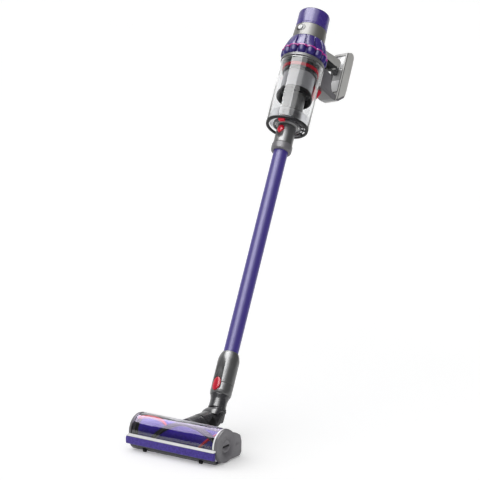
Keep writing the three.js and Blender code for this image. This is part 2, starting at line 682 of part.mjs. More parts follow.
function addHandle(group) {
  piece(group, 'handle_shell_left', handleShell(-1), MATERIAL.lightGrey);
  piece(group, 'handle_shell_right', handleShell(1), MATERIAL.lightGrey);
  piece(group, 'trigger', trigger(), MATERIAL.black);
  const pin = rodAlongX(TRIGGER_PIN.radius, -12, 12, TRIGGER_PIN.y, TRIGGER_PIN.z, 12);
  piece(group, 'trigger_pin', pin, MATERIAL.metal);
  piece(group, 'trigger_switch', block([-3.2, 3.2], [66, 78], [246, 254]), MATERIAL.black);
  piece(group, 'bin_runner', binRunner(), MATERIAL.darkGrey);
  piece(group, 'bin_release_lever', releaseLever(), MATERIAL.red);
  piece(group, 'charging_contacts', block([-8, 8], [123, 133], [162, 167]), MATERIAL.copper);
  piece(group, 'battery_case', batteryCase(), MATERIAL.lightGrey);
  const panel = block([-16.7, 16.7], [BATTERY_FRONT + 0.1, 139.4], [190.3, 301.7]);
  piece(group, 'battery_front_panel', panel, MATERIAL.white);
  const board = block([-15, 15], [163, 164.6], [205, 296]);
  piece(group, 'battery_board', board, MATERIAL.board);
  [[-9.3, 186], [9.3, 186], [-9.3, 247], [9.3, 247]].forEach(([x, z], i) => {
    const cell = rodGeometry(CELL_RADIUS, z, z + CELL_LENGTH, 16).translate(x, 151, 0);
    piece(group, `battery_cell_${i + 1}`, solid(cell), MATERIAL.metal);
  });
}

// ---------------------------------------------------------------- assembly

const vacuum = new THREE.Group();

addHead(vacuum);

const duct = new THREE.Group(); // turns about the duct's axis, along Y
duct.position.set(0, PIVOT_Y, PIVOT_Z);
duct.rotation.y = LEAN_SIDE;
vacuum.add(duct);
piece(duct, 'elbow_duct', elbowDuct(), MATERIAL.darkGrey);
piece(duct, 'hose', hose(), MATERIAL.black);

const stick = new THREE.Group(); // leans about the neck hinge, along X
stick.rotation.x = -LEAN_BACK;
duct.add(stick);
piece(stick, 'neck_tube', neckTube(), MATERIAL.darkGrey);
piece(stick, 'neck_collar', neckCollar(), MATERIAL.silver);
addWand(stick);

const machine = new THREE.Group();
machine.position.z = MACHINE_START;
stick.add(machine);
addBin(machine);
addShroud(machine);
addMotor(machine);
addHandle(machine);

vacuum.updateMatrixWorld(true);
vacuum.position.copy(machine.localToWorld(GRIP_POINT.clone()).negate());

export default vacuum;
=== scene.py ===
import json
import math
import random

import bmesh
import bpy
from mathutils import Euler, Matrix, Vector


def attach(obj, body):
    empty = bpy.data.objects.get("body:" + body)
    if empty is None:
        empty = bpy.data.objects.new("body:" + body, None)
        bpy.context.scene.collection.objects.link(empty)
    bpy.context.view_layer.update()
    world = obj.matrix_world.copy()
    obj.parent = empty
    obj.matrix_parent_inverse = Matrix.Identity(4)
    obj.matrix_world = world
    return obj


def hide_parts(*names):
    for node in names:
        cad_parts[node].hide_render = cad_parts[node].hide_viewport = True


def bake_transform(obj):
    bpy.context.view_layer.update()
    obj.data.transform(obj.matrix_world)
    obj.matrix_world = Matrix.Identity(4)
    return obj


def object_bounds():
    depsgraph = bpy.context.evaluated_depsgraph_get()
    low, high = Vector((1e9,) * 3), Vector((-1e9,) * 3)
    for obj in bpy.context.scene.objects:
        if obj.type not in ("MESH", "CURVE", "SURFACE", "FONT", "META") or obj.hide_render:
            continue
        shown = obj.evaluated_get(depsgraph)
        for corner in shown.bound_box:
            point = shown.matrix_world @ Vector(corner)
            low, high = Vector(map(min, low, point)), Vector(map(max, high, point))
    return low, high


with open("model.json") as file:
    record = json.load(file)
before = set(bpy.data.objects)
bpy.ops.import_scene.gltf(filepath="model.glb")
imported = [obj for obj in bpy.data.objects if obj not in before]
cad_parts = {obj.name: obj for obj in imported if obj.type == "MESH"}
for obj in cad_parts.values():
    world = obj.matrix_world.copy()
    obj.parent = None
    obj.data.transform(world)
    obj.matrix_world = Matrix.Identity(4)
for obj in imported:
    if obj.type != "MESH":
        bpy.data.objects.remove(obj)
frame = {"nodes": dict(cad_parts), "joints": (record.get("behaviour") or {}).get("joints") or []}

# The looks of the cordless stick vacuum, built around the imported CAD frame. Blender works in
# metres; each group of pieces is modelled in millimetres in the axes of the body that it rides
# on, and the group's matrix places it in the shared frame.

CAD_BOUNDS = [list(corner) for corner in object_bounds()]
MM = 0.001
JOINTS = {joint["name"]: joint for joint in frame["joints"]}
NODES = frame["nodes"]

# ---------------------------------------------------------------- places, from the frame


def millimetre_axes(origin, across, back, up):
    """The matrix from millimetres along three axes to metres in the shared frame."""
    matrix = Matrix.Identity(4)
    for column, axis in enumerate((across, back, up)):
        for row in range(3):
            matrix[row][column] = axis[row] * MM
    matrix.translation = origin
    return matrix


NECK = Vector(JOINTS["neck_tilt"]["pos_m"])
ACROSS = Vector(JOINTS["neck_tilt"]["axis"])
BACK = Vector(JOINTS["upper_button_press"]["axis"])
UP = -Vector(JOINTS["bin_slide"]["axis"])
FLOOR_Z = CAD_BOUNDS[0][2]
ROLLER = Vector(JOINTS["roller_spin"]["pos_m"])
ALONG_Y = Vector((0, 1, 0))

STICK = millimetre_axes(NECK, ACROSS, BACK, UP)
DUCT = millimetre_axes(NECK, ACROSS, ALONG_Y, ACROSS.cross(ALONG_Y))
HEAD = millimetre_axes((ROLLER.x, ROLLER.y, FLOOR_Z), (1, 0, 0), ALONG_Y, (0, 0, 1))


def span(node, place):
    """The lowest and highest corner of a CAD node, in millimetres in the axes of place."""
    inverse = place.inverted()
    corners = [inverse @ vertex.co for vertex in NODES[node].data.vertices]
    low = Vector(min(corner[i] for corner in corners) for i in range(3))
    high = Vector(max(corner[i] for corner in corners) for i in range(3))
    return low, high


def heights(node, place):
    return [corner.z for corner in span(node, place)]


BIN_FLOOR = 0.5  # the seal starts this far above the bin's underside
MACHINE = STICK @ Matrix.Translation((0, 0, heights("bin_base_seal", STICK)[0] - BIN_FLOOR))


def radius(node, place=MACHINE):
    return span(node, place)[1].x


BIN_RADIUS = radius("clear_bin")
BIN_LOW, BIN_TOP = heights("clear_bin", MACHINE)
CUP_LOW, CUP_TOP = heights("cyclone_cups", MACHINE)
CROWN_LOW, CROWN_TOP = heights("cyclone_crown", MACHINE)
HOUSING_LOW, HOUSING_TOP = heights("motor_housing", MACHINE)
FILTER_LOW, FILTER_TOP = heights("filter_cap", MACHINE)
TUBE_RADIUS = radius("wand_tube", STICK)
TUBE_LOW, TUBE_TOP = heights("wand_tube", STICK)
HANDLE_HALF = radius("handle_shell_right")
BATTERY_HALF = radius("battery_case")
HEAD_HALF = span("head_end_cap_right", HEAD)[1].x
ROLLER_Z = (ROLLER.z - FLOOR_Z) / MM
CYCLONES = 14

# ---------------------------------------------------------------- mesh helpers


SHORTEST = 0.02  # a corner with shorter sides, or a flatter one, stays as it is
NEARLY_STRAIGHT = math.radians(172)


def fillet(points, size, steps=4):
    """A closed outline with its corners rounded to about size."""
    rounded = []
    count = len(points)
    for i, point in enumerate(points):
        here = Vector(point)
        before = Vector(points[i - 1]) - here
        after = Vector(points[(i + 1) % count]) - here
        reach = min(size, before.length * 0.45, after.length * 0.45)
        if reach < SHORTEST or before.angle(after) > NEARLY_STRAIGHT:
            rounded.append(tuple(here))
            continue
        start = here + before.normalized() * reach
        end = here + after.normalized() * reach
        for step in range(steps + 1):
            t = step / steps
            curve = start * (1 - t) ** 2 + here * (2 * t * (1 - t)) + end * t ** 2
            rounded.append(tuple(curve))
    return rounded


def arc(centre, size, start, end, steps):
    """Points of an arc; degrees from the first axis towards the second."""
    turn = [math.radians(start + (end - start) * i / steps) for i in range(steps + 1)]
    return [(centre[0] + size * math.cos(a), centre[1] + size * math.sin(a)) for a in turn]


def lathe(outline, facets=96, warp=None):
    """A closed outline of (radius, z) turned about Z. warp(radius, z, angle) may bend it."""
    mesh = bmesh.new()
    rings = []
    for size, z in outline:
        if size < 1e-4:
            rings.append([mesh.verts.new((0, 0, z))] * facets)
            continue
        ring = []
        for i in range(facets):
            angle = 2 * math.pi * i / facets
            r, height = warp(size, z, angle) if warp else (size, z)
            ring.append(mesh.verts.new((r * math.cos(angle), r * math.sin(angle), height)))
        rings.append(ring)
    for i, ring in enumerate(rings):
        other = rings[(i + 1) % len(rings)]
        if ring[0] is ring[1] and other[0] is other[1]:
            continue
        for k in range(facets):
            loop = [ring[k], ring[(k + 1) % facets], other[(k + 1) % facets], other[k]]
            corners = list(dict.fromkeys(loop))
            mesh.faces.new(corners)
    bmesh.ops.recalc_face_normals(mesh, faces=mesh.faces)
    return mesh


def plate(outline, low, high, rim=0.8, steps=3):
    """An outline of (y, z) as thick as x from low to high, with its rims rounded."""
    mesh = bmesh.new()
    corners = [mesh.verts.new((low, y, z)) for y, z in outline]
    face = mesh.faces.new(corners)
    grown = bmesh.ops.extrude_face_region(mesh, geom=[face])
    top = [v for v in grown["geom"] if isinstance(v, bmesh.types.BMVert)]
    bmesh.ops.translate(mesh, vec=(high - low, 0, 0), verts=top)
    bmesh.ops.recalc_face_normals(mesh, faces=mesh.faces)
    if rim:
        rims = [e for e in mesh.edges if abs(e.verts[0].co.x - e.verts[1].co.x) < 1e-6]
        bmesh.ops.bevel(mesh, geom=rims, offset=rim, segments=steps, profile=0.5,
                        affect="EDGES", clamp_overlap=True)
    return mesh


def box(low, high, rim):
    """A block between two corners, with every edge rounded."""
    mesh = bmesh.new()
    bmesh.ops.create_cube(mesh, size=1)
    size = Vector(high) - Vector(low)
    bmesh.ops.scale(mesh, vec=size, verts=mesh.verts)
    bmesh.ops.translate(mesh, vec=(Vector(high) + Vector(low)) / 2, verts=mesh.verts)
    if rim:
        bmesh.ops.bevel(mesh, geom=mesh.edges[:], offset=rim, segments=2, profile=0.5,
                        affect="EDGES", clamp_overlap=True)
    return mesh


def disc(size, low, high, rim=0.6, facets=64):
    """A round plate about Z with rounded rims."""
    return lathe(fillet([(0, low), (size, low), (size, high), (0, high)], rim), facets)


def moved(mesh, matrix):
    mesh.transform(matrix)
    return mesh


def merged(*meshes):
    """Several meshes as one."""
    whole = bmesh.new()
    for mesh in meshes:
        data = bpy.data.meshes.new("part")
        mesh.to_mesh(data)
        mesh.free()
        whole.from_mesh(data)
        bpy.data.meshes.remove(data)
    return whole


def skin(mesh, rings):
    """Joins rings of points in a row and closes the first and the last."""
    count = len(rings[0])
    for first, second in zip(rings, rings[1:]):
        for k in range(count):
            mesh.faces.new([first[k], first[(k + 1) % count], second[(k + 1) % count], second[k]])
    mesh.faces.new(rings[0])
    mesh.faces.new(rings[-1])
    bmesh.ops.recalc_face_normals(mesh, faces=mesh.faces)
    return mesh


def sweep(path, size, facets):
    """A round tube along 3D points; size is a number or a function of the share along it."""
    mesh = bmesh.new()
    points = [Vector(p) for p in path]
    normal = Vector((1, 0, 0))
    rings = []
    for i, point in enumerate(points):
        ahead = points[min(i + 1, len(points) - 1)] - points[max(i - 1, 0)]
        ahead.normalize()
        normal = (normal - ahead * normal.dot(ahead)).normalized()
        side = ahead.cross(normal)
        share = i / (len(points) - 1)
        r = size(share) if callable(size) else size
        turns = [2 * math.pi * k / facets for k in range(facets)]
        rings.append([mesh.verts.new(point + (normal * math.cos(a) + side * math.sin(a)) * r)
                      for a in turns])
    return skin(mesh, rings)


def add(name, mesh, place, body, material, replaces=(), sharp=32):
    """Makes a piece from a mesh in millimetres and puts it on its body."""
    data = bpy.data.meshes.new(name)
    mesh.transform(place)
    limit = math.radians(sharp)
    for edge in mesh.edges:
        edge.smooth = not (edge.is_manifold and edge.calc_face_angle(0) > limit)
    for face in mesh.faces:
        face.smooth = True
    mesh.to_mesh(data)
    mesh.free()
    data.materials.append(MATERIAL[material])
    piece = bpy.data.objects.new(name, data)
    bpy.context.scene.collection.objects.link(piece)
    if body:
        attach(piece, body)
    if replaces:
        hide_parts(*replaces)
    return piece


def carve(piece, *cutters, operation="DIFFERENCE"):
    """Cuts a piece by meshes that are already in the shared frame."""
    for cutter in cutters:
        data = bpy.data.meshes.new("cutter")
        cutter.to_mesh(data)
        cutter.free()
        tool = bpy.data.objects.new("cutter", data)
        bpy.context.scene.collection.objects.link(tool)
        modifier = piece.modifiers.new("cut", "BOOLEAN")
        modifier.operation = operation
        modifier.object = tool
        modifier.solver = "EXACT"
        bpy.context.view_layer.update()
        graph = bpy.context.evaluated_depsgraph_get()
        result = bpy.data.meshes.new_from_object(piece.evaluated_get(graph))
        piece.modifiers.clear()
        piece.data = result
        bpy.data.objects.remove(tool)


# ---------------------------------------------------------------- materials


class Nodes:
    """A short way to write a material's node tree."""

    def __init__(self, name):
        self.material = bpy.data.materials.new(name)
        self.material.use_nodes = True
        self.tree = self.material.node_tree
        self.shader = self.tree.nodes["Principled BSDF"]
        self.place = self.tree.nodes.new("ShaderNodeTexCoord").outputs["Object"]

    def new(self, kind, **settings):
        node = self.tree.nodes.new(kind)
        for key, value in settings.items():
            setattr(node, key, value)
        return node

    def link(self, output, target):
        self.tree.links.new(output, target)

    def noise(self, scale, detail=3.0, rough=0.55, stretch=None):
        node = self.new("ShaderNodeTexNoise")
        node.inputs["Scale"].default_value = scale
        node.inputs["Detail"].default_value = detail
        node.inputs["Roughness"].default_value = rough
        source = self.place
        if stretch:
            source = self.math("MULTIPLY", source, stretch)
        self.link(source, node.inputs["Vector"])
        return node.outputs["Fac"]

    def math(self, operation, first, second):
        """Vector arithmetic on a socket and a constant."""
        node = self.new("ShaderNodeVectorMath", operation=operation)
        self.link(first, node.inputs[0])
        node.inputs[1].default_value = second
        return node.outputs["Value" if operation == "DOT_PRODUCT" else "Vector"]

    def number(self, operation, first, second):
        """Arithmetic on sockets or constants."""
        node = self.new("ShaderNodeMath", operation=operation)
        for socket, value in zip(node.inputs, (first, second)):
            if isinstance(value, bpy.types.NodeSocket):
                self.link(value, socket)
            else:
                socket.default_value = value
        return node.outputs[0]

    def between(self, fac, low, high, start=0.3, end=0.7):
        """A number from low to high as fac goes from start to end."""
        node = self.new("ShaderNodeMapRange")
        self.link(fac, node.inputs["Value"])
        for name, value in zip(("From Min", "From Max", "To Min", "To Max"), (start, end, low, high)):
            node.inputs[name].default_value = value
        return node.outputs["Result"]

    def blend(self, fac, first, second, start=0.3, end=0.7):
        """A colour from first to second as fac goes from start to end."""
        ramp = self.new("ShaderNodeValToRGB")
        ramp.color_ramp.elements[0].position = start
        ramp.color_ramp.elements[0].color = (*first, 1)
        ramp.color_ramp.elements[1].position = end
        ramp.color_ramp.elements[1].color = (*second, 1)
        self.link(fac, ramp.inputs["Fac"])
        return ramp.outputs["Color"]

    def bump(self, height, strength, distance):
        node = self.new("ShaderNodeBump")
        node.inputs["Strength"].default_value = strength
        node.inputs["Distance"].default_value = distance
        self.link(height, node.inputs["Height"])
        self.link(node.outputs["Normal"], self.shader.inputs["Normal"])

    def set(self, **values):
        for key, value in values.items():
            self.shader.inputs[key.replace("_", " ")].default_value = value

    def use(self, name, output):
        self.link(output, self.shader.inputs[name])


def shade(color, factor):
    return tuple(min(1, c * factor) for c in color)


def moulded(name, color, rough=0.35, metallic=0.0, coat=0.0, grain=0.06, grain_scale=1800,
            mottle=0.07, level=0.5):
    """Painted or moulded plastic: fine grain, slight mottling and uneven gloss."""
    m = Nodes(name)
    cloud = m.noise(26)
    m.use("Base Color", m.blend(cloud, shade(color, 1 - mottle), shade(color, 1 + mottle)))
    smear = m.noise(60, detail=5)
    m.use("Roughness", m.between(smear, rough * 0.86, rough * 1.14))
    m.set(Metallic=metallic, Coat_Weight=coat, Coat_Roughness=0.06, Specular_IOR_Level=level)
    m.bump(m.noise(grain_scale, detail=2), grain, 0.0002)
    return m.material


def stick_height(m):
    """Millimetres along the stick from the neck hinge, for a point on the object."""
    offset = m.math("SUBTRACT", m.place, tuple(NECK))
    return m.math("DOT_PRODUCT", offset, tuple(UP / MM))


def stick_angle(m, size):
    """Millimetres round the stick at a radius of size."""
    offset = m.math("SUBTRACT", m.place, tuple(NECK))
    side = m.math("DOT_PRODUCT", offset, tuple(ACROSS / MM))
    depth = m.math("DOT_PRODUCT", offset, tuple(BACK / MM))
    return m.number("MULTIPLY", m.number("ARCTAN2", side, depth), size)


def anodised(name, color, rough):
    """Satin purple paint over drawn aluminium, with faint lines along the tube."""
    m = Nodes(name)
    lines = m.new("ShaderNodeCombineXYZ")
    m.link(stick_angle(m, 3.0), lines.inputs["X"])
    m.link(m.number("MULTIPLY", stick_height(m), 0.01), lines.inputs["Y"])
    drawn = m.new("ShaderNodeTexNoise")
    drawn.inputs["Scale"].default_value = 5.0
    drawn.inputs["Detail"].default_value = 6.0
    m.link(lines.outputs["Vector"], drawn.inputs["Vector"])
    flake = m.noise(5200, detail=1)
    m.use("Base Color", m.blend(flake, shade(color, 0.86), shade(color, 1.16), 0.35, 0.65))
    m.use("Roughness", m.between(drawn.outputs["Fac"], rough * 0.85, rough * 1.2))
    m.set(Specular_IOR_Level=0.42)
    m.bump(drawn.outputs["Fac"], 0.05, 0.0001)
    return m.material


def clear(name, tint=(0.985, 0.99, 0.995), rough=0.015):
    """Clear polycarbonate with faint moulding haze."""
    m = Nodes(name)
    haze = m.noise(40, detail=2)
    m.use("Base Color", m.blend(haze, shade(tint, 0.985), tint))
    m.use("Roughness", m.between(haze, rough, rough * 2.2))
    m.set(Transmission_Weight=1.0, IOR=1.12, Coat_Weight=1.0, Coat_Roughness=0.02)
    return m.material


def perforated(name, size):
    """Perforated sheet: rows of small holes round a drum."""
    m = Nodes(name)
    pitch = 1.6
    grid = m.new("ShaderNodeCombineXYZ")
    m.link(m.number("DIVIDE", stick_angle(m, size), pitch), grid.inputs["X"])
    m.link(m.number("DIVIDE", stick_height(m), pitch), grid.inputs["Y"])
    holes = m.new("ShaderNodeTexVoronoi", voronoi_dimensions="2D")
    holes.inputs["Scale"].default_value = 1.0
    holes.inputs["Randomness"].default_value = 0.0
    m.link(grid.outputs["Vector"], holes.inputs["Vector"])
    fac = m.between(holes.outputs["Distance"], 0, 1, 0.2, 0.3)
    m.use("Base Color", m.blend(fac, (0.2, 0.2, 0.215), (0.62, 0.62, 0.65), 0.1, 0.9))
    m.set(Metallic=0.55)
    m.use("Roughness", m.between(m.noise(90), 0.28, 0.4))
    m.bump(fac, 0.35, 0.0004)
    return m.material


def rubber(name, color, rough=0.45):
    """Dull rubber with a little dust."""
    m = Nodes(name)
    dust = m.noise(160, detail=6)
    m.use("Base Color", m.blend(dust, color, shade(color, 2.2), 0.45, 0.75))
    m.use("Roughness", m.between(dust, rough * 0.85, rough * 1.15))
    m.set(Specular_IOR_Level=0.22)
    m.bump(m.noise(2600, detail=2), 0.12, 0.0002)
    return m.material


def napped(name, color, scale=1500, sheen=0.6):
    """Short pile: tufts with a soft sheen."""
    m = Nodes(name)
    tufts = m.new("ShaderNodeTexVoronoi")
    tufts.inputs["Scale"].default_value = scale
    m.link(m.place, tufts.inputs["Vector"])
    clumps = m.noise(260, detail=4)
    m.use("Base Color", m.blend(clumps, shade(color, 0.72), shade(color, 1.3)))
    m.set(Roughness=0.85, Sheen_Weight=sheen, Sheen_Roughness=0.4, Specular_IOR_Level=0.2)
    m.bump(tufts.outputs["Distance"], 0.8, 0.0006)
    return m.material


def fibres(name, color, tip):
    """Dense bristles: fine streaks across the row."""
    m = Nodes(name)
    streak = m.noise(900, detail=2, stretch=(3.0, 0.5, 0.5))
    m.use("Base Color", m.blend(streak, color, tip, 0.35, 0.7))
    m.set(Roughness=0.6, Specular_IOR_Level=0.3)
    m.bump(streak, 0.9, 0.0008)
    return m.material


def bare_metal(name, color, rough=0.25):
    """Brushed bare metal."""
    m = Nodes(name)
    brushed = m.noise(400, detail=5, stretch=(1, 1, 12))
    m.use("Base Color", m.blend(brushed, shade(color, 0.9), color))
    m.use("Roughness", m.between(brushed, rough * 0.8, rough * 1.3))
    m.set(Metallic=1.0)
    m.bump(brushed, 0.05, 0.0001)
    return m.material


def circuit(name):
    """A coated board with lighter tracks."""
    m = Nodes(name)
    tracks = m.new("ShaderNodeTexBrick")
    tracks.inputs["Scale"].default_value = 180
    tracks.inputs["Mortar Size"].default_value = 0.06
    m.link(m.place, tracks.inputs["Vector"])
    m.use("Base Color", m.blend(tracks.outputs["Fac"], (0.01, 0.12, 0.05), (0.3, 0.35, 0.12), 0.2, 0.6))
    m.set(Roughness=0.45)
    m.bump(tracks.outputs["Fac"], 0.3, 0.0002)
    return m.material


PURPLE = (0.052, 0.028, 0.225)
MATERIAL = {
    "silver": moulded("silver_paint", (0.09, 0.09, 0.092), rough=0.33, metallic=0.15, level=1.0),
    "warm_silver": moulded("warm_silver_paint", (0.13, 0.125, 0.118), rough=0.36, metallic=0.1, level=0.7),
    "tube": anodised("purple_anodised", (0.055, 0.036, 0.25), rough=0.38),
    "purple": moulded("purple_gloss", PURPLE, rough=0.26, level=0.5),
    "deep": moulded("deep_purple_gloss", (0.022, 0.011, 0.15), rough=0.36, level=0.3),
    "pink": moulded("pink_gloss", (0.5, 0.04, 0.32), rough=0.25, coat=0.3),
    "light_grey": moulded("light_grey_plastic", (0.36, 0.355, 0.34), rough=0.36),
    "pale_grey": moulded("pale_grey_plastic", (0.74, 0.74, 0.74), rough=0.35),
    "duct_grey": moulded("duct_grey_plastic", (0.22, 0.22, 0.22), rough=0.34, metallic=0.3, level=1.0),
    "dark_grey": moulded("dark_grey_plastic", (0.044, 0.043, 0.048), rough=0.28, coat=0.2),
    "cap_grey": moulded("cap_grey_plastic", (0.135, 0.13, 0.142), rough=0.4),
    "black": moulded("black_plastic", (0.012, 0.012, 0.013), rough=0.3, coat=0.2),
    "rubber": rubber("black_rubber", (0.008, 0.008, 0.009)),
    "frame_grey": moulded("frame_grey_plastic", (0.46, 0.455, 0.44), rough=0.4),
    "frost": clear("frosted_dish", tint=(0.9, 0.9, 0.92), rough=0.3),
    "red": moulded("red_gloss", (0.55, 0.008, 0.03), rough=0.22, level=0.35),
    "white": moulded("white_gloss", (0.82, 0.82, 0.82), rough=0.25, coat=0.3),
    "panel": moulded("panel_grey", (0.42, 0.42, 0.42), rough=0.35),
    "clear": clear("clear_polycarbonate"),
    "window": clear("clear_window", tint=(0.95, 0.96, 0.97)),
    "mesh": perforated("perforated_steel", radius("shroud_mesh")),
    "velvet": napped("purple_velvet", (0.06, 0.038, 0.25), sheen=0.2),
    "bristle": fibres("black_bristle", (0.008, 0.008, 0.008), (0.05, 0.05, 0.05)),
    "filament": fibres("red_filament", (0.5, 0.01, 0.03), (0.85, 0.04, 0.06)),
    "nap": napped("roller_felt", (0.045, 0.022, 0.31), scale=2200, sheen=0.1),
    "steel": bare_metal("bare_steel", (0.6, 0.6, 0.61)),
    "copper": bare_metal("copper_contact", (0.75, 0.45, 0.22)),
    "board": circuit("circuit_board"),
    "paper": napped("filter_media", (0.75, 0.75, 0.72), scale=3000, sheen=0.1),
}

# ---------------------------------------------------------------- camera, floor and light

AZIMUTH, ELEVATION, DISTANCE = math.radians(35), math.radians(12.4), 5.68
AIM = NECK + Vector((0.054, 0.029, 0.4355))
TO_CAMERA = Vector((
    math.sin(AZIMUTH) * math.cos(ELEVATION),
    -math.cos(AZIMUTH) * math.cos(ELEVATION),
    math.sin(ELEVATION),
))


def add_camera():
    data = bpy.data.cameras.new("camera")
    data.lens = 184.4
    data.clip_end = 100
    camera = bpy.data.objects.new("camera", data)
    camera.location = AIM + TO_CAMERA * DISTANCE
    camera.rotation_euler = (-TO_CAMERA).to_track_quat("-Z", "Y").to_euler()
    bpy.context.scene.collection.objects.link(camera)
    bpy.context.scene.camera = camera


def add_floor():
    mesh = bmesh.new()
    bmesh.ops.create_grid(mesh, x_segments=1, y_segments=1, size=30)
    data = bpy.data.meshes.new("floor")
    mesh.to_mesh(data)
    mesh.free()
    floor = bpy.data.objects.new("floor", data)
    floor.location = (0, 0, FLOOR_Z)
    m = Nodes("floor")
    m.use("Base Color", m.blend(m.noise(0.8), (0.93, 0.93, 0.93), (0.95, 0.95, 0.95)))
    m.set(Roughness=0.9, Specular_IOR_Level=0.1, Emission_Color=(1, 1, 1, 1), Emission_Strength=0.2)
    data.materials.append(m.material)
    bpy.context.scene.collection.objects.link(floor)


def add_card(name, low, high, strength, pieces, state="INCLUDE", color=(1, 1, 1), turn=0):
    """A level softbox between two corners, mirrored in gloss only.

    The pieces are the only ones that it reaches, or with EXCLUDE the only ones that it does not.
    """
    low, high = Vector(low), Vector(high)
    data = bpy.data.lights.new(name, "AREA")
    data.shape = "RECTANGLE"
    data.size, data.size_y = high.x - low.x, high.y - low.y
    data.energy = strength * math.pi * data.size * data.size_y
    data.color = color
    light = bpy.data.objects.new(name, data)
    light.location = (low + high) / 2
    light.rotation_euler.z = math.radians(turn)
    light.visible_camera = False
    light.visible_transmission = False
    light.visible_diffuse = False
    bpy.context.scene.collection.objects.link(light)
    listed = bpy.data.collections.new(f"{name}_pieces")
    for piece in pieces:
        listed.objects.link(bpy.data.objects[piece])
    for entry in listed.collection_objects:
        entry.light_linking.link_state = state
    light.light_linking.receiver_collection = listed
    return light


def world_ramp(tree, direction, ends, levels):
    """A level that changes smoothly as the view turns towards direction."""
    place = tree.nodes.new("ShaderNodeTexCoord")
    facing = tree.nodes.new("ShaderNodeVectorMath")
    facing.operation = "DOT_PRODUCT"
    facing.inputs[1].default_value = direction
    tree.links.new(place.outputs["Generated"], facing.inputs[0])
    ramp = tree.nodes.new("ShaderNodeMapRange")
    ramp.interpolation_type = "SMOOTHSTEP"
    for name, value in zip(("From Min", "From Max", "To Min", "To Max"), (*ends, *levels)):
        ramp.inputs[name].default_value = value
    tree.links.new(facing.outputs["Value"], ramp.inputs["Value"])
    return ramp.outputs["Result"]


def add_world():
    """A pale studio: white to look at, with its diffuse light falling off from left to right.

    Glossy surfaces see it bright only behind the object on the left.
    """
    world = bpy.data.worlds.new("studio")
    world.use_nodes = True
    world.cycles.sampling_method = "NONE"
    bpy.context.scene.world = world
    tree = world.node_tree
    tree.nodes.clear()
    ray = tree.nodes.new("ShaderNodeLightPath")
    to_right = Vector((math.cos(AZIMUTH), math.sin(AZIMUTH), 0))
    level = None
    for kind, direction, ends, levels in (
        ("Is Diffuse Ray", to_right, (-0.8, 0.9), (1.3, 0.4)),
        ("Is Glossy Ray", (-2 * TO_CAMERA - to_right).normalized(), (0.3, 0.9), (0.05, 0.95)),
    ):
        mix = tree.nodes.new("ShaderNodeMix")
        mix.data_type = "FLOAT"
        tree.links.new(ray.outputs[kind], mix.inputs["Factor"])
        tree.links.new(world_ramp(tree, direction, ends, levels), mix.inputs["B"])
        if level is None:
            mix.inputs["A"].default_value = 1.04
        else:
            tree.links.new(level, mix.inputs["A"])
        level = mix.outputs["Result"]
    background = tree.nodes.new("ShaderNodeBackground")
    background.inputs["Color"].default_value = (1, 1, 1, 1)
    tree.links.new(level, background.inputs["Strength"])
    output = tree.nodes.new("ShaderNodeOutputWorld")
    tree.links.new(background.outputs["Background"], output.inputs["Surface"])


def add_lights():
    """Cards that glossy surfaces mirror, and a lamp that lifts the roller's colours."""
    machine = MACHINE @ Vector((0, 0, 120))
    window = ("roller_window", "window_band_left", "window_band_right")
    add_card("key_card", machine + Vector((-1.015, -2.45, 1.6)), machine + Vector((0.565, 0.75, 1.6)),
             10.5, window, "EXCLUDE", turn=27)
    add_card("fade_card", machine + Vector((0.705, -2.45, 1.6)), machine + Vector((1.495, 0.75, 1.6)), 3,
             window, "EXCLUDE", turn=27)
    head = HEAD @ Vector((0, 0, ROLLER_Z))
    add_card("window_card", head + Vector((-1.1, -0.475, 0.68)), head + Vector((0.5, 0.6, 0.68)), 6.5,
             window, color=(0.85, 0.76, 1.0))
    roller = ("roller_drum", "bristle_rows", "filament_rows")
    lamp = add_card("roller_lamp", head + Vector((-0.9, 0.1, 0.75)), head + Vector((0.3, 0.7, 0.75)), 8,
                    roller)
    lamp.visible_diffuse = True
    lamp.visible_glossy = False
    lamp.data.use_shadow = False


add_camera()
add_floor()
add_world()
bpy.context.scene.view_settings.view_transform = "Standard"

# ---------------------------------------------------------------- filter, motor and cyclones

TO_FRONT = Matrix.Rotation(math.radians(90), 4, "X")  # turns +Z to -Y
TO_BACK = Matrix.Rotation(math.radians(-90), 4, "X")  # turns +Z to +Y
TO_SIDE = Matrix.Rotation(math.radians(90), 4, "Y")  # turns +Z to +X


def lobe(angle):
    """0 in the middle of a cyclone and 1 in the groove beside it."""
    return abs((angle / (2 * math.pi) * CYCLONES) % 1 - 0.5) * 2


def smooth(value, start, end):
    t = min(1, max(0, (value - start) / (end - start)))
    return t * t * (3 - 2 * t)


def stadium(half_length, half_width, steps=10):
    """A slot's outline, its long side along the first axis."""
    right = arc((half_length - half_width, 0), half_width, -90, 90, steps)
    left = arc((half_width - half_length, 0), half_width, 90, 270, steps)
    return right + left


def add_filter():
    size = radius("filter_cap")
    low = FILTER_LOW
    groove = 0.7
    outline = [
        (size - 3.4, low), (size, low), (size, low + 3.2), (size - groove, low + 3.6),
        (size - groove, low + 4.2), (size, low + 4.6), (size - 0.2, FILTER_TOP - 5),
        (size - 2, FILTER_TOP - 1), (size - 9, FILTER_TOP - 0.3), (0, FILTER_TOP - 0.1),
        (0, FILTER_TOP - 3), (size - 3.4, FILTER_TOP - 7),
    ]
    add("filter_cap_shell", lathe(fillet(outline, 1.2), 128), MACHINE, "filter", "purple",
        ["filter_cap"])
    seat_low = FILTER_TOP - 1.2
    seat = [(30, seat_low), (31.5, seat_low), (31.5, FILTER_TOP), (30, FILTER_TOP)]
    add("filter_top_ring", lathe(fillet(seat, 0.4)), MACHINE, "filter", "deep")


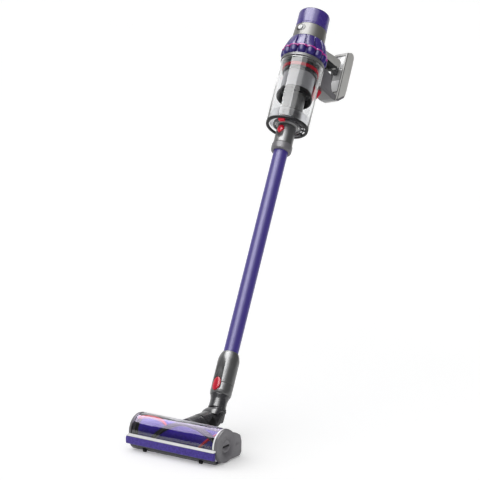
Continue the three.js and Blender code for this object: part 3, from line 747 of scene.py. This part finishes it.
def add_motor():
    size = radius("motor_housing")
    top = size - 1.4
    outline = [
        (38.4, HOUSING_LOW), (size - 0.6, HOUSING_LOW), (size, HOUSING_LOW + 1.4),
        (top, HOUSING_TOP - 2.6), (top - 0.5, HOUSING_TOP - 2.2), (top - 0.5, HOUSING_TOP),
        (38.4, HOUSING_TOP),
    ]
    add("motor_housing_shell", lathe(fillet(outline, 0.7), 128), MACHINE, "stick", "warm_silver",
        ["motor_housing"])
    low, high = span("mode_slider", MACHINE)
    height = (low.z + high.z) / 2
    button = high.x
    slot = [(y, height + z) for y, z in stadium(button * 2.1, button * 1.25)]
    plug = moved(plate(slot, 34, size + 3, 0), Matrix.Rotation(math.radians(-90), 4, "Z"))
    recess = add("slider_recess", plug, MACHINE, "stick", "black")
    shell = lathe([(size - 3, height - 12), (size + 0.25, height - 12), (size + 0.25, height + 12),
                   (size - 3, height + 12)], 128)
    carve(recess, moved(shell, MACHINE), operation="INTERSECT")
    face = fillet([(0, 0), (button, 0), (button, 2.2), (button - 1, 2.9), (0, 2.5)], 0.5)
    place = MACHINE @ Matrix.Translation((0, -size - 0.1, height)) @ TO_FRONT
    add("mode_button", lathe(face, 64), place, "mode_slider", "white", ["mode_slider"])


CUP_PHASE = math.radians(2.4)


def add_crown():
    low, top = CROWN_LOW, CROWN_TOP
    bottom_size = radius("cyclone_crown") - 0.4
    top_size = 45.5

    core_low, core_top = 51, 42.6

    def core(z):
        return core_low + (core_top - core_low) * (z - low) / (top - low)

    def warp(size, z, angle):
        if size < core(z):
            return size, z
        groove = smooth(lobe(angle), 0.74, 0.92)
        belly = 1 - 0.12 * lobe(angle) ** 2
        return core(z) + (size - core(z)) * (1 - groove) * belly, z

    steps = 14
    side = []
    for i in range(steps + 1):
        share = i / steps
        size = bottom_size + (top_size - bottom_size) * share + 0.8 * math.sin(math.pi * share)
        side.append((size, low + (top - low) * share))
    side[0] = (bottom_size - 1.4, low)
    side[-1] = (top_size - 1.2, top)
    outline = [(37, low), *side, (37, top)]
    crown = lathe(outline, CYCLONES * 32, warp)
    for vertex in crown.verts:  # the vanes lean, and more so at the top
        twist = math.radians(-3 - 4 * (vertex.co.z - low) / (top - low))
        vertex.co.rotate(Euler((0, 0, twist)))
    add("cyclone_crown_shell", crown, MACHINE, "stick", "purple", ["cyclone_crown"],
        sharp=50)
    ring_low, ring_high = span("crown_trim_ring", MACHINE)

    def scallop(size, z, angle):
        if size < 50:
            return size, z
        return size - 3.2 * smooth(lobe(angle - CUP_PHASE), 0.55, 1.0), z

    ring = [(48, ring_low.z - 0.2), (ring_high.x, ring_low.z - 0.2), (ring_high.x, ring_high.z + 0.2),
            (48, ring_high.z + 0.2)]
    add("crown_ring", lathe(fillet(ring, 0.5), CYCLONES * 24, scallop), MACHINE, "stick", "pink",
        ["crown_trim_ring"])


def add_cups():
    outer = radius("cyclone_cups")
    cup = 10.4
    side = [(cup * math.cos(math.radians(a)), CUP_LOW + cup * (1 + math.sin(math.radians(a))))
            for a in range(-90, 1, 9)]
    outline = [*side, (cup, CUP_TOP - 1), (cup - 0.8, CUP_TOP), (0, CUP_TOP)]
    cups = []
    for i in range(CYCLONES):
        turn = Matrix.Rotation(2 * math.pi * (i + 0.5) / CYCLONES + CUP_PHASE, 4, "Z")
        cups.append(moved(lathe(outline, 28), turn @ Matrix.Translation((outer - cup, 0, 0))))
    add("cyclone_cup_row", merged(*cups), MACHINE, "stick", "deep", ["cyclone_cups"])
    ring = [(38.5, CUP_LOW + 2), (50, CUP_LOW + 2), (50, CUP_TOP), (38.5, CUP_TOP)]
    add("cyclone_ring", lathe(fillet(ring, 1)), MACHINE, "stick", "deep")


# ---------------------------------------------------------------- dust bin and shroud

SHROUD_LOW = 103  # where the perforated drum meets the skirt
SLIMMER = 2.6  # how far the drum is inside the CAD solid


def add_shroud():
    rim = [
        (40, 176.5), (50, 176.5), (51, 179), (51, 183.8), (55.4, 184.4), (56, 185.2), (56, 187.6),
        (55.2, 188), (55.2, 188.6), (56, 189), (56, 191), (55.2, 191.6), (40, 191.6),
    ]
    add("bin_rim_ring", lathe(fillet(rim, 0.5), 128), MACHINE, "stick", "silver",
        ["bin_rim"])
    collar = [
        (38, 153), (44.6, 153), (45, 154), (45, 160.5), (44, 161.2), (42, 161.2), (42, 169.8),
        (46, 169.8), (47.4, 170.9), (49, 176.1), (38, 176.1),
    ]
    add("shroud_collar_ring", lathe(fillet(collar, 0.5)), MACHINE, "stick", "dark_grey",
        ["shroud_collar"])
    size = radius("shroud_seal")
    low, high = heights("shroud_seal", MACHINE)
    seal = [
        (42.4, low), (size - 0.4, low), (size, low + 2), (size - 0.7, low + 3.9), (size, high - 2),
        (size - 0.4, high), (42.4, high),
    ]
    add("shroud_red_seal", lathe(fillet(seal, 0.8)), MACHINE, "stick", "red",
        ["shroud_seal"])
    size, low, high = radius("shroud_mesh") - SLIMMER, SHROUD_LOW, heights("shroud_mesh", MACHINE)[1]
    drum = [(size - 2, low), (size, low), (size, high), (size - 2, high)]
    add("shroud_drum", lathe(fillet(drum, 0.3), 144), MACHINE, "stick", "mesh",
        ["shroud_mesh"])
    bands = [lathe(fillet([(38, z), (size + 0.45, z), (size + 0.45, z + 1.6), (38, z + 1.6)], 0.5))
             for z in (low, high - 1.6)]
    add("shroud_bands", merged(*bands), MACHINE, "stick", "silver")
    size = radius("shroud_skirt")
    skirt = [
        (37.5, SHROUD_LOW), (40.6, SHROUD_LOW), (42, 99), (45.4, 94), (size, 90), (size, 86), (size - 1, 84),
        (size - 3.2, 84), (43.6, 88.5), (40.6, 94), (39, 100), (37.5, 100),
    ]
    add("shroud_rubber_skirt", lathe(fillet(skirt, 1.4)), MACHINE, "stick", "rubber",
        ["shroud_skirt"])
    duct = [
        (21.5, 1.4), (27.5, 1.4), (29, 4), (29, 58), (28.6, 58.4), (28.6, 59.2), (29, 59.6), (29, 103),
        (31, 106), (38, 112), (38, 140), (34, 140), (34, 114), (25, 105), (23, 100), (21.5, 40),
    ]
    add("dust_duct", lathe(fillet(duct, 1), 112), MACHINE, "stick", "duct_grey",
        ["inlet_duct"])


def add_bin():
    wall = 2.2
    size = BIN_RADIUS
    shell = [
        (size - wall, BIN_LOW), (size, BIN_LOW), (size, BIN_TOP - 5), (size + 0.5, BIN_TOP - 4),
        (size + 0.5, BIN_TOP - 0.3), (size - wall, BIN_TOP - 0.3),
    ]
    add("dust_bin", lathe(fillet(shell, 0.6), 144), MACHINE, "bin", "clear",
        ["clear_bin"])
    inner = size - wall - 0.4
    dish = [
        (31.5, 9), (38, 10.5), (45, 10), (inner - 2, 12), (inner - 1.8, 26), (inner, 27.5),
        (inner, 29.5), (inner - 2.6, 29.5), (inner - 3.4, 14), (45, 12), (38, 12.4), (31.5, 11),
    ]
    add("bin_floor_dish", lathe(fillet(dish, 0.8), 112), MACHINE, "bin", "frost",
        ["bin_base"])
    seal = [(46.6, 0.5), (52.6, 0.5), (53.8, 1.8), (53.8, 5.6), (46.6, 5.6)]
    add("bin_floor_seal", lathe(fillet(seal, 1), 112), MACHINE, "bin", "rubber",
        ["bin_base_seal"])
    hub = [(31.4, 2), (35, 1.4), (36.4, 3), (36.4, 8.6), (31.4, 8.6)]
    ribs = [lathe(fillet(hub, 0.7))]
    for angle in (-28, -4, 20, 44, 70, 110):
        turn = Matrix.Rotation(math.radians(angle), 4, "Z")
        ribs.append(moved(box((35.6, -0.8, 2.6), (47.2, 0.8, 7.6), 0.3), turn))
    path = [(x, y, 4.4) for x, y in arc((0, 0), 41.5, -60, 60, 18)]
    ribs.append(sweep(path, 1.5, 10))
    ribs.append(box((-13, 39, 1.4), (13, 50, 8), 1.2))
    ribs.append(moved(box((38, -7, 1.6), (47, 7, 8), 1), Matrix.Rotation(math.radians(-35), 4, "Z")))
    add("bin_floor_frame", merged(*ribs), MACHINE, "bin", "dark_grey")
    latch = [(-45.3, 5.7), (-45.3, 0.8), (-42, -2.3), (-34.5, -2.3), (-34, 1.2), (-39.6, 5.7)]
    turn = MACHINE @ Matrix.Rotation(math.radians(15), 4, "Z")
    add("bin_floor_latch", plate(fillet(latch, 1.2), -8, 8, 1), turn, "bin", "red",
        ["bin_base_latch"])


# ---------------------------------------------------------------- handle and battery

ARM_SIDE = [
    (43.2, 262), (62, 265), (108, 274), (119, 274), (124, 270), (124, 256), (116, 250), (114, 243),
    (77, 237.5), (45, 236), (45, 254), (43.2, 254),
]
GRIP_SIDE = [(106, 268), (128, 268), (137, 264), (137, 240), (124, 243), (106, 243)]
TRIGGER_SIDE = [(84, 247), (112, 254.5), (114, 249), (108, 235.5), (96, 231), (86, 231), (83, 235.5)]
RUNNER_SIDE = [
    (56.5, 159), (56.5, 190.4), (62.6, 191.6), (62.6, 211), (66, 216), (74, 218), (90, 218), (97, 216),
    (101, 209), (111, 186), (116, 178), (136.9, 178), (136.9, 163), (120, 159),
]
LEVER_SIDE = [(57.2, 158.4), (57.2, 126), (62, 120), (69, 121), (84, 149), (86, 158.4)]
BATTERY_SIDE = [
    (137.3, 164.5), (146, 166), (167, 189), (170, 197), (170, 311), (166, 318.5), (157, 321.5),
    (137.3, 309.5),
]


def inset(points, share):
    """An outline shrunk towards its middle."""
    middle = sum((Vector(p) for p in points), Vector((0, 0))) / len(points)
    return [tuple(middle + (Vector(p) - middle) * share) for p in points]


def add_handle():
    half = HANDLE_HALF
    for word, side in (("left", -1), ("right", 1)):
        edges = sorted((side * 0.1, side * half))
        arm = plate(fillet(ARM_SIDE, 3), *edges, 0)
        add(f"handle_arm_{word}", soften(arm, side, half, 2.2), MACHINE, "stick", "light_grey",
            [f"handle_shell_{word}"])
        edges = sorted((side * 0.1, side * 6))
        grip = plate(fillet(GRIP_SIDE, 4), *edges, 0)
        add(f"handle_grip_{word}", soften(grip, side, 6, 3), MACHINE, "stick", "dark_grey")
    under = [(60, 246.5), (104, 249), (113.5, 252), (115, 243.5), (77, 236.6), (60, 235.8)]
    add("arm_underside", plate(fillet(under, 2), -half - 0.4, half + 0.4, 1), MACHINE, "stick", "rubber")
    add("trigger_blade", plate(fillet(TRIGGER_SIDE, 2.4), -7.2, 7.2, 1.6), MACHINE, "trigger", "black",
        ["trigger"])
    add("bin_runner_body", plate(fillet(RUNNER_SIDE, 2), -half, half, 1.6), MACHINE, "stick", "cap_grey",
        ["bin_runner"])
    cheek = inset([(66, 166), (66, 199), (68, 210), (90, 212), (98, 205), (108, 184), (110, 168)], 0.93)
    add("runner_cheeks", plate(fillet(cheek, 5), -half - 0.5, half + 0.5, 0.5), MACHINE, "stick",
        "cap_grey")
    # Rails on the runner's front edge, painted white: a painted highlight of that edge.
    highlight_rail = [(60, 162), (65, 162), (65, 206), (60, 204)]
    highlight_rails = [plate(fillet(highlight_rail, 1.2), *sorted((side * (half - 3), side * (half + 0.8))), 0.6)
             for side in (-1, 1)]
    add("bin_rails_painted_highlight", merged(*highlight_rails), MACHINE, "stick", "white")
    lip = [(58, 158.6), (120, 158.6), (136.6, 162.6), (136.6, 164.6), (120, 160.8), (58, 160.8)]
    add("runner_lip", plate(fillet(lip, 0.7), -half - 0.5, half + 0.5, 0.6), MACHINE, "stick", "silver")
    lever = [plate(fillet(LEVER_SIDE, 3), -11, 11, 2), box((-6, 58, 156), (6, 68, 184), 0.6)]
    add("release_lever_blade", merged(*lever), MACHINE, "release_lever", "red",
        ["bin_release_lever"])


def soften(mesh, side, half, size):
    """Rounds the rim on the outer face of a half shell."""
    outer = side * half
    rims = [e for e in mesh.edges if all(abs(v.co.x - outer) < 1e-6 for v in e.verts)]
    bmesh.ops.bevel(mesh, geom=rims, offset=size, segments=4, profile=0.5, affect="EDGES",
                    clamp_overlap=True)
    return mesh


def add_battery():
    half = BATTERY_HALF
    case = add("battery_shell", plate(fillet(BATTERY_SIDE, 4), -half, half, 2.4, 4), MACHINE, "stick",
               "frame_grey", ["battery_case", "battery_front_panel"])
    carve(case, moved(box((-17.6, 130, 189), (17.6, 139.2, 303), 1.5), MACHINE))
    floor = 139.3
    add("battery_recess_floor", box((-17.5, floor - 1.1, 189.2), (17.5, floor + 0.4, 302.8), 0.4),
        MACHINE, "stick", "dark_grey")
    panels = [box((-9, floor - 2, low), (15.2, floor - 0.6, high), 0.8)
              for low, high in ((192, 227), (263, 299))]
    add("battery_panels", merged(*panels), MACHINE, "stick", "white")
    add("battery_middle_panel", box((-9, floor - 1.8, 227.6), (15.2, floor - 0.6, 262.4), 0.6), MACHINE,
        "stick", "panel")
    # A black strip across the case's sides near the front: painted shade of the gap between the front panel
    # and the frame, not a cut groove.
    groove = [(139.6, 171), (141.6, 171), (141.6, 310), (139.6, 310)]
    add("battery_gap_painted_shade", plate(fillet(groove, 0.8), -half - 0.15, half + 0.15, 0.1), MACHINE, "stick",
        "black")
    side = inset([(y + 1.6, z) for y, z in BATTERY_SIDE], 0.8)
    add("battery_side_panels", plate(fillet(side, 4), -half - 0.3, half + 0.3, 0.3), MACHINE, "stick",
        "frame_grey")
    base = [(138, 164.8), (145.8, 166.2), (166.8, 189.2), (163, 193), (143, 172), (138, 170)]
    add("battery_base", plate(fillet(base, 1), -half - 0.2, half + 0.2, 1.5), MACHINE, "stick",
        "cap_grey")


# ---------------------------------------------------------------- wand and neck


def oval(half_x, half_z, dome, depth, point=0.0):
    """A domed oval button that faces -Y; point narrows its lower end."""
    outline = [(0, dome), (0.3, dome * 0.96), (0.55, dome * 0.84), (0.78, dome * 0.6), (0.93, dome * 0.25),
               (1, -0.4), (1, -depth), (0, -depth)]
    mesh = lathe(outline, 56)
    for vertex in mesh.verts:
        x, z, height = vertex.co
        narrow = 1 - point * max(0, -z) ** 1.5
        vertex.co = (x * half_x * narrow, -height, z * half_z)
    bmesh.ops.recalc_face_normals(mesh, faces=mesh.faces)
    return mesh


def wrap(mesh, size):
    """Bends a mesh that faces -Y round a cylinder of that radius."""
    for vertex in mesh.verts:
        angle = vertex.co.x / size
        reach = size - vertex.co.y
        vertex.co = (reach * math.sin(angle), -reach * math.cos(angle), vertex.co.z)
    return mesh


def add_button(name, body, node, half_x, half_z, size, centre, dome, point, connectors):
    cut = wrap(oval(half_x + 1.4, half_z + 0.8, 8, 6.2, point), size)
    cut = moved(cut, STICK @ Matrix.Translation((0, 0, centre)))
    for piece in connectors:
        carve(piece, cut.copy())
    cut.free()
    button = wrap(oval(half_x, half_z, dome, 3, point), size)
    add(name, button, STICK @ Matrix.Translation((0, 0, centre)), body, "red", [node])


def add_wand():
    size = TUBE_RADIUS
    outline = [(size - 1.5, TUBE_LOW), (size, TUBE_LOW), (size, TUBE_TOP), (size - 1.5, TUBE_TOP)]
    add("wand_tube_skin", lathe(outline, 96), STICK, "stick", "tube", ["wand_tube"])
    high = span("wand_lower_connector", STICK)[1]
    size = high.x
    joint = span("neck_collar", STICK)[1].z + 0.3
    shell = [
        (17, joint), (size, joint), (size, high.z - 20), (size - 0.8, high.z - 15), (size - 3, high.z - 7),
        (size - 5.4, high.z - 1.6), (size - 6.6, high.z), (size - 7.6, high.z), (size - 7.6, joint + 30),
        (17, joint + 30),
    ]
    lower = add("lower_connector_shell", lathe(fillet(shell, 1.2), 128), STICK, "stick", "silver",
                ["wand_lower_connector"])
    start = span("neck_collar", STICK)[0].z
    collar = [
        (17, start), (size - 2.6, start), (size - 1.2, start + 2.4), (size - 0.2, start + 8),
        (size, joint - 0.5), (17, joint - 0.5),
    ]
    ring = add("neck_collar_shell", lathe(fillet(collar, 0.8), 128), STICK, "stick", "silver",
               ["neck_collar"])
    middle = sum(heights("wand_lower_button", STICK)) / 2
    add_button("lower_release_button", "lower_button", "wand_lower_button", 12, 17, size, middle, 1.4, 0,
               [lower, ring])
    add_upper_connector()


def add_upper_connector():
    low, high = span("wand_upper_connector", STICK)
    size = 24
    top = high.z - 30
    shell = [
        (17, low.z + 20.6), (size + 0.6, low.z + 20.6), (size, low.z + 26), (size, top - 2), (size - 1, top),
        (20.3, top), (20.3, top + 28), (17, top + 28),
    ]
    upper = add("upper_connector_shell", lathe(fillet(shell, 0.9), 128), STICK, "stick", "silver",
                ["wand_upper_connector"])
    collar = [
        (TUBE_RADIUS + 0.2, low.z), (24, low.z), (25.4, low.z + 2.6), (26, low.z + 6), (26, low.z + 18),
        (25, low.z + 20.2), (TUBE_RADIUS + 0.2, low.z + 20.2),
    ]
    add("upper_connector_collar", lathe(fillet(collar, 1), 128), STICK, "stick", "cap_grey")
    middle = sum(heights("wand_upper_button", STICK)) / 2
    add_button("upper_release_button", "upper_button", "wand_upper_button", 10.5, 11, size, middle, 2.8,
               0.45, [upper])


def sector(outline, start, end, steps):
    """A closed outline of (x, radius) swept about X; degrees from +Y towards +Z."""
    mesh = bmesh.new()
    rings = []
    for i in range(steps + 1):
        angle = math.radians(start + (end - start) * i / steps)
        rings.append([mesh.verts.new((x, r * math.cos(angle), r * math.sin(angle))) for x, r in outline])
    return skin(mesh, rings)


def add_neck():
    top = span("neck_tube", STICK)[1].z
    half = 25.2
    base = 26
    barrel = [
        (16.6, base + 1), (22, base + 1), (21.2, base + 7), (20.5, base + 13), (20.5, top - 12),
        (21.4, top - 7), (23.2, top), (16.6, top),
    ]
    add("neck_barrel", lathe(fillet(barrel, 1.6), 112), STICK, "stick", "dark_grey",
        ["neck_tube"])
    dome = [(-half, 20), (-half + 1.2, 24.5), (-half + 3.4, 27.6), (-half + 7, 30), (-half + 12, 31.6),
            (-half + 18, 32.3), (0, 32.5)]
    dome += [(-x, r) for x, r in reversed(dome[:-1])]
    under = [(x * 0.92, r - 2.4) for x, r in reversed(dome)]
    add("neck_cowl", sector(dome + under, 72, 174, 40), STICK, "stick", "dark_grey")
    yoke_side = [(9, base + 3), (-9, base + 3), *arc((0, 0), 9, 180, 360, 16)]
    arms = [plate(yoke_side, *sorted((side * 19.5, side * 22)), 0.6) for side in (-1, 1)]
    add("neck_yoke", merged(*arms), STICK, "stick", "dark_grey")


def add_duct():
    start = span("elbow_duct", DUCT)[0].y
    end = -34
    size = 27.5
    barrel = [
        (20, start), (24, start), (24, start + 22.5), (size - 1, start + 22.5), (size - 0.6, start + 23.6),
        (size - 0.6, end - 0.6), (size - 2.6, end), (20, end),
    ]
    add("duct_barrel", moved(lathe(fillet(barrel, 0.9), 128), TO_BACK), DUCT, "duct", "dark_grey",
        ["elbow_duct"])
    cuff = [(size - 2, end - 22), (size - 0.4, end - 22)]
    for i in range(6):
        z = end - 21 + i * 4
        cuff += [(size - 0.4, z), (size + 0.7, z + 0.7), (size + 0.7, z + 2.1), (size - 0.4, z + 2.8)]
    cuff += [(size - 2, end + 3)]
    add("duct_cuff", moved(lathe(cuff, 96), TO_BACK), DUCT, "duct", "rubber")
    add_hood(size + 0.9, start + 27)


def add_hood(size, start):
    """The glossy cover over the top of the duct, which reaches up to the neck's cowl."""
    steps, turns, tip = 24, 40, -24
    inside = 0.955  # the inner surface's share of the outer one
    mesh = bmesh.new()
    rows = []
    for i in range(steps + 1):
        y = start + (tip - start) * i / steps
        edge = 14 + 24 * smooth(y, start, tip)
        nose = 1 - 0.05 * smooth(y, tip - 3, tip)
        row = []
        for k in range(turns + 1):
            angle = math.radians(edge + (180 - 2 * edge) * k / turns)
            row.append((size * nose * math.cos(angle), y, size * nose * math.sin(angle)))
        rows.append(row)
    outer = [[mesh.verts.new(p) for p in row] for row in rows]
    inner = [[mesh.verts.new((x * inside, y, z * inside)) for x, y, z in row] for row in rows]
    for layer in (outer, inner):
        for first, second in zip(layer, layer[1:]):
            for k in range(turns):
                mesh.faces.new([first[k], first[k + 1], second[k + 1], second[k]])
    for i in range(steps):
        for k in (0, turns):
            mesh.faces.new([outer[i][k], outer[i + 1][k], inner[i + 1][k], inner[i][k]])
    for i in (0, steps):
        for k in range(turns):
            mesh.faces.new([outer[i][k], outer[i][k + 1], inner[i][k + 1], inner[i][k]])
    bmesh.ops.recalc_face_normals(mesh, faces=mesh.faces)
    add("duct_hood", mesh, DUCT, "duct", "dark_grey", sharp=50)


def add_hose():
    """The corrugated hose, curved from the duct into the stick at the neck hinge; it rides no body."""
    stick_in_duct = DUCT.inverted().to_3x3() @ (STICK.to_3x3() @ Vector((0, 0, 1)))
    stick_in_duct.normalize()
    start, end = Vector((0, -33.4, 0)), stick_in_duct * 25.4
    steps, ribs, size, depth = 180, 9, 20.8, 2.8
    path = [start * (1 - t) ** 2 + end * t ** 2 for t in (i / steps for i in range(steps + 1))]

    def rib(share):
        wave = 0.5 - 0.5 * math.cos(2 * math.pi * ribs * share)
        return size - depth * (1 - wave)

    mesh = sweep(path, rib, 48)
    wider = 1.18  # across the hinge
    for vertex in mesh.verts:
        vertex.co.x *= wider
    hose = add("neck_hose", mesh, DUCT, None, "dark_grey", ["hose"], sharp=60)
    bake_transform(hose)


# ---------------------------------------------------------------- floor head

CHAMBER, BORE = 39.5, 37.0
REAR = [(49, 60), (63, 52), (68, 36), (67, 10), (62, 5.6)]
# Each row on the roller, as (x, degrees from the back over the top to the front).
BLACK_ROW = [
    (-100, 262), (-78, 222), (-55, 180), (-20, 125), (6, 93), (40, 97), (70, 116), (95, 134), (114, 150),
]
RED_ROWS = [
    [(-114, 114), (-100, 100), (-84, 92), (-60, 98), (-45, 109), (-30, 124)],
    [(62, 206), (75, 182), (88, 160), (100, 140), (113, 118)],
]


def chamber(size, start, end, steps):
    return arc((0, ROLLER_Z), size, start, end, steps)


HOUSING_HALF = HEAD_HALF - 6.3  # half the length of the housing and of its window
ROW_WIDTHS = {"black": 13, "red": 5.5}


def add_housing():
    half = HOUSING_HALF
    outline = [*chamber(CHAMBER, 46, 42, 2), *fillet(REAR + [(20, 5.6)], 5), *chamber(BORE, -62, 46, 32)]
    shell = add("head_body", plate(outline, -half, half, 0.5), HEAD, "head", "dark_grey",
                ["head_housing"])
    wheel_low, wheel_high = span("rear_wheel_right", HEAD)
    pockets = [box((side * 70 - 6.2, wheel_low.y - 1, -2), (side * 70 + 6.2, wheel_high.y + 1, 19.8), 0)
               for side in (-1, 1)]
    carve(shell, *(moved(pocket, HEAD) for pocket in pockets))
    pivot_z = (NECK.z - FLOOR_Z) / MM
    collar = [(24.6, 22), (28.5, 22), (28.5, 61), (27.6, 64), (24.6, 64)]
    place = HEAD @ Matrix.Translation((0, 0, pivot_z)) @ TO_BACK
    ring = add("duct_collar", lathe(fillet(collar, 1.2), 112), place, "head", "dark_grey")
    roller_room = moved(disc(BORE, -130, 130, 0, 96), Matrix.Translation((0, 0, ROLLER_Z)) @ TO_SIDE)
    carve(ring, moved(roller_room, HEAD))


def add_window():
    half = HOUSING_HALF
    outline = chamber(CHAMBER, 46.5, 181, 78) + chamber(BORE + 0.3, 181, 46.5, 78)
    add("roller_window", plate(outline, -half, half, 0.3, 2), HEAD, "head", "window",
        ["head_window"])
    band = chamber(CHAMBER + 0.5, 60, 181, 60) + chamber(BORE + 1, 181, 60, 60)
    # The right band is pale grey, a painted highlight on the clear window's thick rim at that end; the left
    # band is black.
    for word, side, material in (("left", -1, "black"), ("right", 1, "pale_grey")):
        ring = plate(band, *sorted((side * (half - 4), side * (half + 0.1))), 0.5)
        add(f"window_band_{word}", ring, HEAD, "head", material)
    # A pale grey strip along the window's top edge: a painted highlight of that edge.
    edge_highlight = chamber(CHAMBER + 0.4, 76, 79, 6) + chamber(BORE + 1.4, 79, 76, 6)
    add("window_edge_painted_highlight", plate(edge_highlight, -half + 3, half - 3, 0.3), HEAD, "head", "pale_grey")


def add_end_caps():
    outline = [*chamber(CHAMBER, 42, 232, 60), (-21, 3.2), (60, 3.2), *reversed(REAR[:-1])]
    for word, side in (("right", 1), ("left", -1)):
        edges = sorted((side * (HEAD_HALF - 7.5), side * (HEAD_HALF - 3.8)))
        cap = add(f"end_cap_{word}", plate(fillet(outline, 2), *edges, 0.9), HEAD, "head", "cap_grey",
                  [f"head_end_cap_{word}"])
        place = Matrix.Translation((0, 0, ROLLER_Z)) @ TO_SIDE
        face = disc(CHAMBER - 0.8, *sorted((side * (HEAD_HALF - 5), side * HEAD_HALF)), 0.8, 112)
        plain = add(f"end_cap_face_{word}", moved(face, place), HEAD, "head", "cap_grey")
        if side > 0:
            hole = disc(15.4, HEAD_HALF - 4.4, HEAD_HALF + 5, 0, 64)
            hole = moved(hole, HEAD @ place)
            carve(plain, hole.copy())
            carve(cap, hole)
    lock = add("lock_disc", moved(disc(15, HEAD_HALF - 4.2, HEAD_HALF, 0.4), place), HEAD, "cap_lock",
               "cap_grey", ["end_cap_lock"])
    slot = box((HEAD_HALF - 3, -13, ROLLER_Z - 2.4), (HEAD_HALF + 4, 13, ROLLER_Z + 2.4), 0.9)
    carve(lock, moved(slot, HEAD))
    # A black rubber block at the bottom of the slot: painted shade that makes the slot read dark.
    dark = box((HEAD_HALF - 3.6, -12.9, ROLLER_Z - 2.3), (HEAD_HALF - 1.8, 12.9, ROLLER_Z + 2.3), 0.2)
    add("lock_slot_painted_shade", dark, HEAD, "cap_lock", "rubber")


def add_front():
    half = HEAD_HALF
    strip = [(-50.4, 18.6), (-51, 22), (-51, 31), (-49.6, 35), (-42, 35), (-42, 16.6), (-48.4, 16.6)]
    add("velvet_bumper", plate(fillet(strip, 1.6), -half, half, 1.4), HEAD, "head", "velvet",
        ["head_bumper_strip"])
    lip = [(-49, 35.4), (-39.9, 35.4), (-39.9, 39.4), (-41.2, 39.4), (-42.2, 37.4), (-48.6, 36.8)]
    add("bumper_lip", plate(fillet(lip, 0.6), -half + 0.3, half - 0.3, 0.5), HEAD, "head", "pale_grey",
        ["head_lip_trim"])


def spline(points, count):
    """Smooth points through a few (x, degrees) points, evenly spaced in x."""
    result = []
    for i in range(count + 1):
        x = points[0][0] + (points[-1][0] - points[0][0]) * i / count
        k = max(j for j in range(len(points) - 1) if points[j][0] <= x + 1e-9)
        before, here = points[max(k - 1, 0)], points[k]
        after, beyond = points[k + 1], points[min(k + 2, len(points) - 1)]
        width = after[0] - here[0]
        t = (x - here[0]) / width
        start = (after[1] - before[1]) / (after[0] - before[0]) * width
        end = (beyond[1] - here[1]) / (beyond[0] - here[0]) * width
        value = (here[1] * (2 * t ** 3 - 3 * t ** 2 + 1) + start * (t ** 3 - 2 * t ** 2 + t)
                 + after[1] * (3 * t ** 2 - 2 * t ** 3) + end * (t ** 3 - t ** 2))
        result.append((x, value))
    return result


def bristle_row(points, width, root, tip, shift=0.0):
    """A row of bristles that follows a curve on the roller, with ragged tips."""
    mesh = bmesh.new()
    chance = random.Random(7)
    rings = []
    for x, degrees in spline(points, 220):
        ring = []
        for share, level in ((-0.5, root), (-0.5, tip), (-0.2, tip), (0.2, tip), (0.5, tip), (0.5, root)):
            ragged = chance.uniform(-0.35, 0.0) if level == tip else 0
            angle = math.radians(degrees + shift) + share * width / level
            reach = level + ragged
            ring.append(mesh.verts.new((x, reach * math.cos(angle), ROLLER_Z + reach * math.sin(angle))))
        rings.append(ring)
    return skin(mesh, rings)


def add_roller():
    size = 30
    core = [(24, -104), (size, -104), (size, 109), (24, 109)]
    core = moved(lathe(fillet(core, 0.6), 112), Matrix.Translation((0, 0, ROLLER_Z)) @ TO_SIDE)
    hub = moved(disc(24.2, 110, 114, 0.5), Matrix.Translation((0, 0, ROLLER_Z)) @ TO_SIDE)
    rings = [moved(disc(size - 1.2, low, high, 0.8), Matrix.Translation((0, 0, ROLLER_Z)) @ TO_SIDE)
             for low, high in ((-114, -104.2), (109.2, 114))]
    add("roller_end_rings", merged(*rings), HEAD, "roller", "black")
    add("roller_drum", merged(core, hub), HEAD, "roller", "nap", ["roller_core"])
    rows = [bristle_row(BLACK_ROW, ROW_WIDTHS["black"], size - 0.5, 35.7, shift) for shift in (0, 180)]
    add("bristle_rows", merged(*rows), HEAD, "roller", "bristle",
        ["roller_bristle_strip"])
    rows = [bristle_row(row, ROW_WIDTHS["red"], size - 0.5, 35.3, shift)
            for row in RED_ROWS for shift in (0, 180)]
    add("filament_rows", merged(*rows), HEAD, "roller", "filament",
        ["roller_filament_strip"])


def add_wheels():
    for node in ("rear_wheel_left", "rear_wheel_right", "front_roller_left", "front_roller_right"):
        low, high = span(node, HEAD)
        size = (high.z - low.z) / 2
        half = (high.x - low.x) / 2
        middle = (low + high) / 2
        tread = [(0, -half), (size - 1.6, -half), (size, -half + 1.4), (size, -0.9), (size - 0.5, -0.5),
                 (size - 0.5, 0.5), (size, 0.9), (size, half - 1.4), (size - 1.6, half), (0, half)]
        place = HEAD @ Matrix.Translation(middle) @ TO_SIDE
        add(f"{node}_tyre", lathe(fillet(tread, 0.6), 56), place, node, "rubber", [node])


# ---------------------------------------------------------------- carried-over CAD pieces

CARRIED = {
    "filter_pleats": "paper",
    "motor_can": "steel",
    "motor_rotor": "copper",
    "control_board": "board",
    "trigger_pin": "steel",
    "trigger_switch": "black",
    "charging_contacts": "copper",
    "battery_board": "board",
    "battery_cell_1": "steel",
    "battery_cell_2": "steel",
    "battery_cell_3": "steel",
    "battery_cell_4": "steel",
    "head_sole_plate": "black",
    "brush_motor": "steel",
}


def dress_carried():
    for node, material in CARRIED.items():
        piece = NODES[node]
        piece.data.materials.clear()
        piece.data.materials.append(MATERIAL[material])


add_filter()
add_motor()
add_crown()
add_cups()
add_shroud()
add_bin()
add_handle()
add_battery()
add_wand()
add_neck()
add_duct()
add_hose()
add_housing()
add_window()
add_end_caps()
add_front()
add_roller()
add_wheels()
dress_carried()
add_lights()
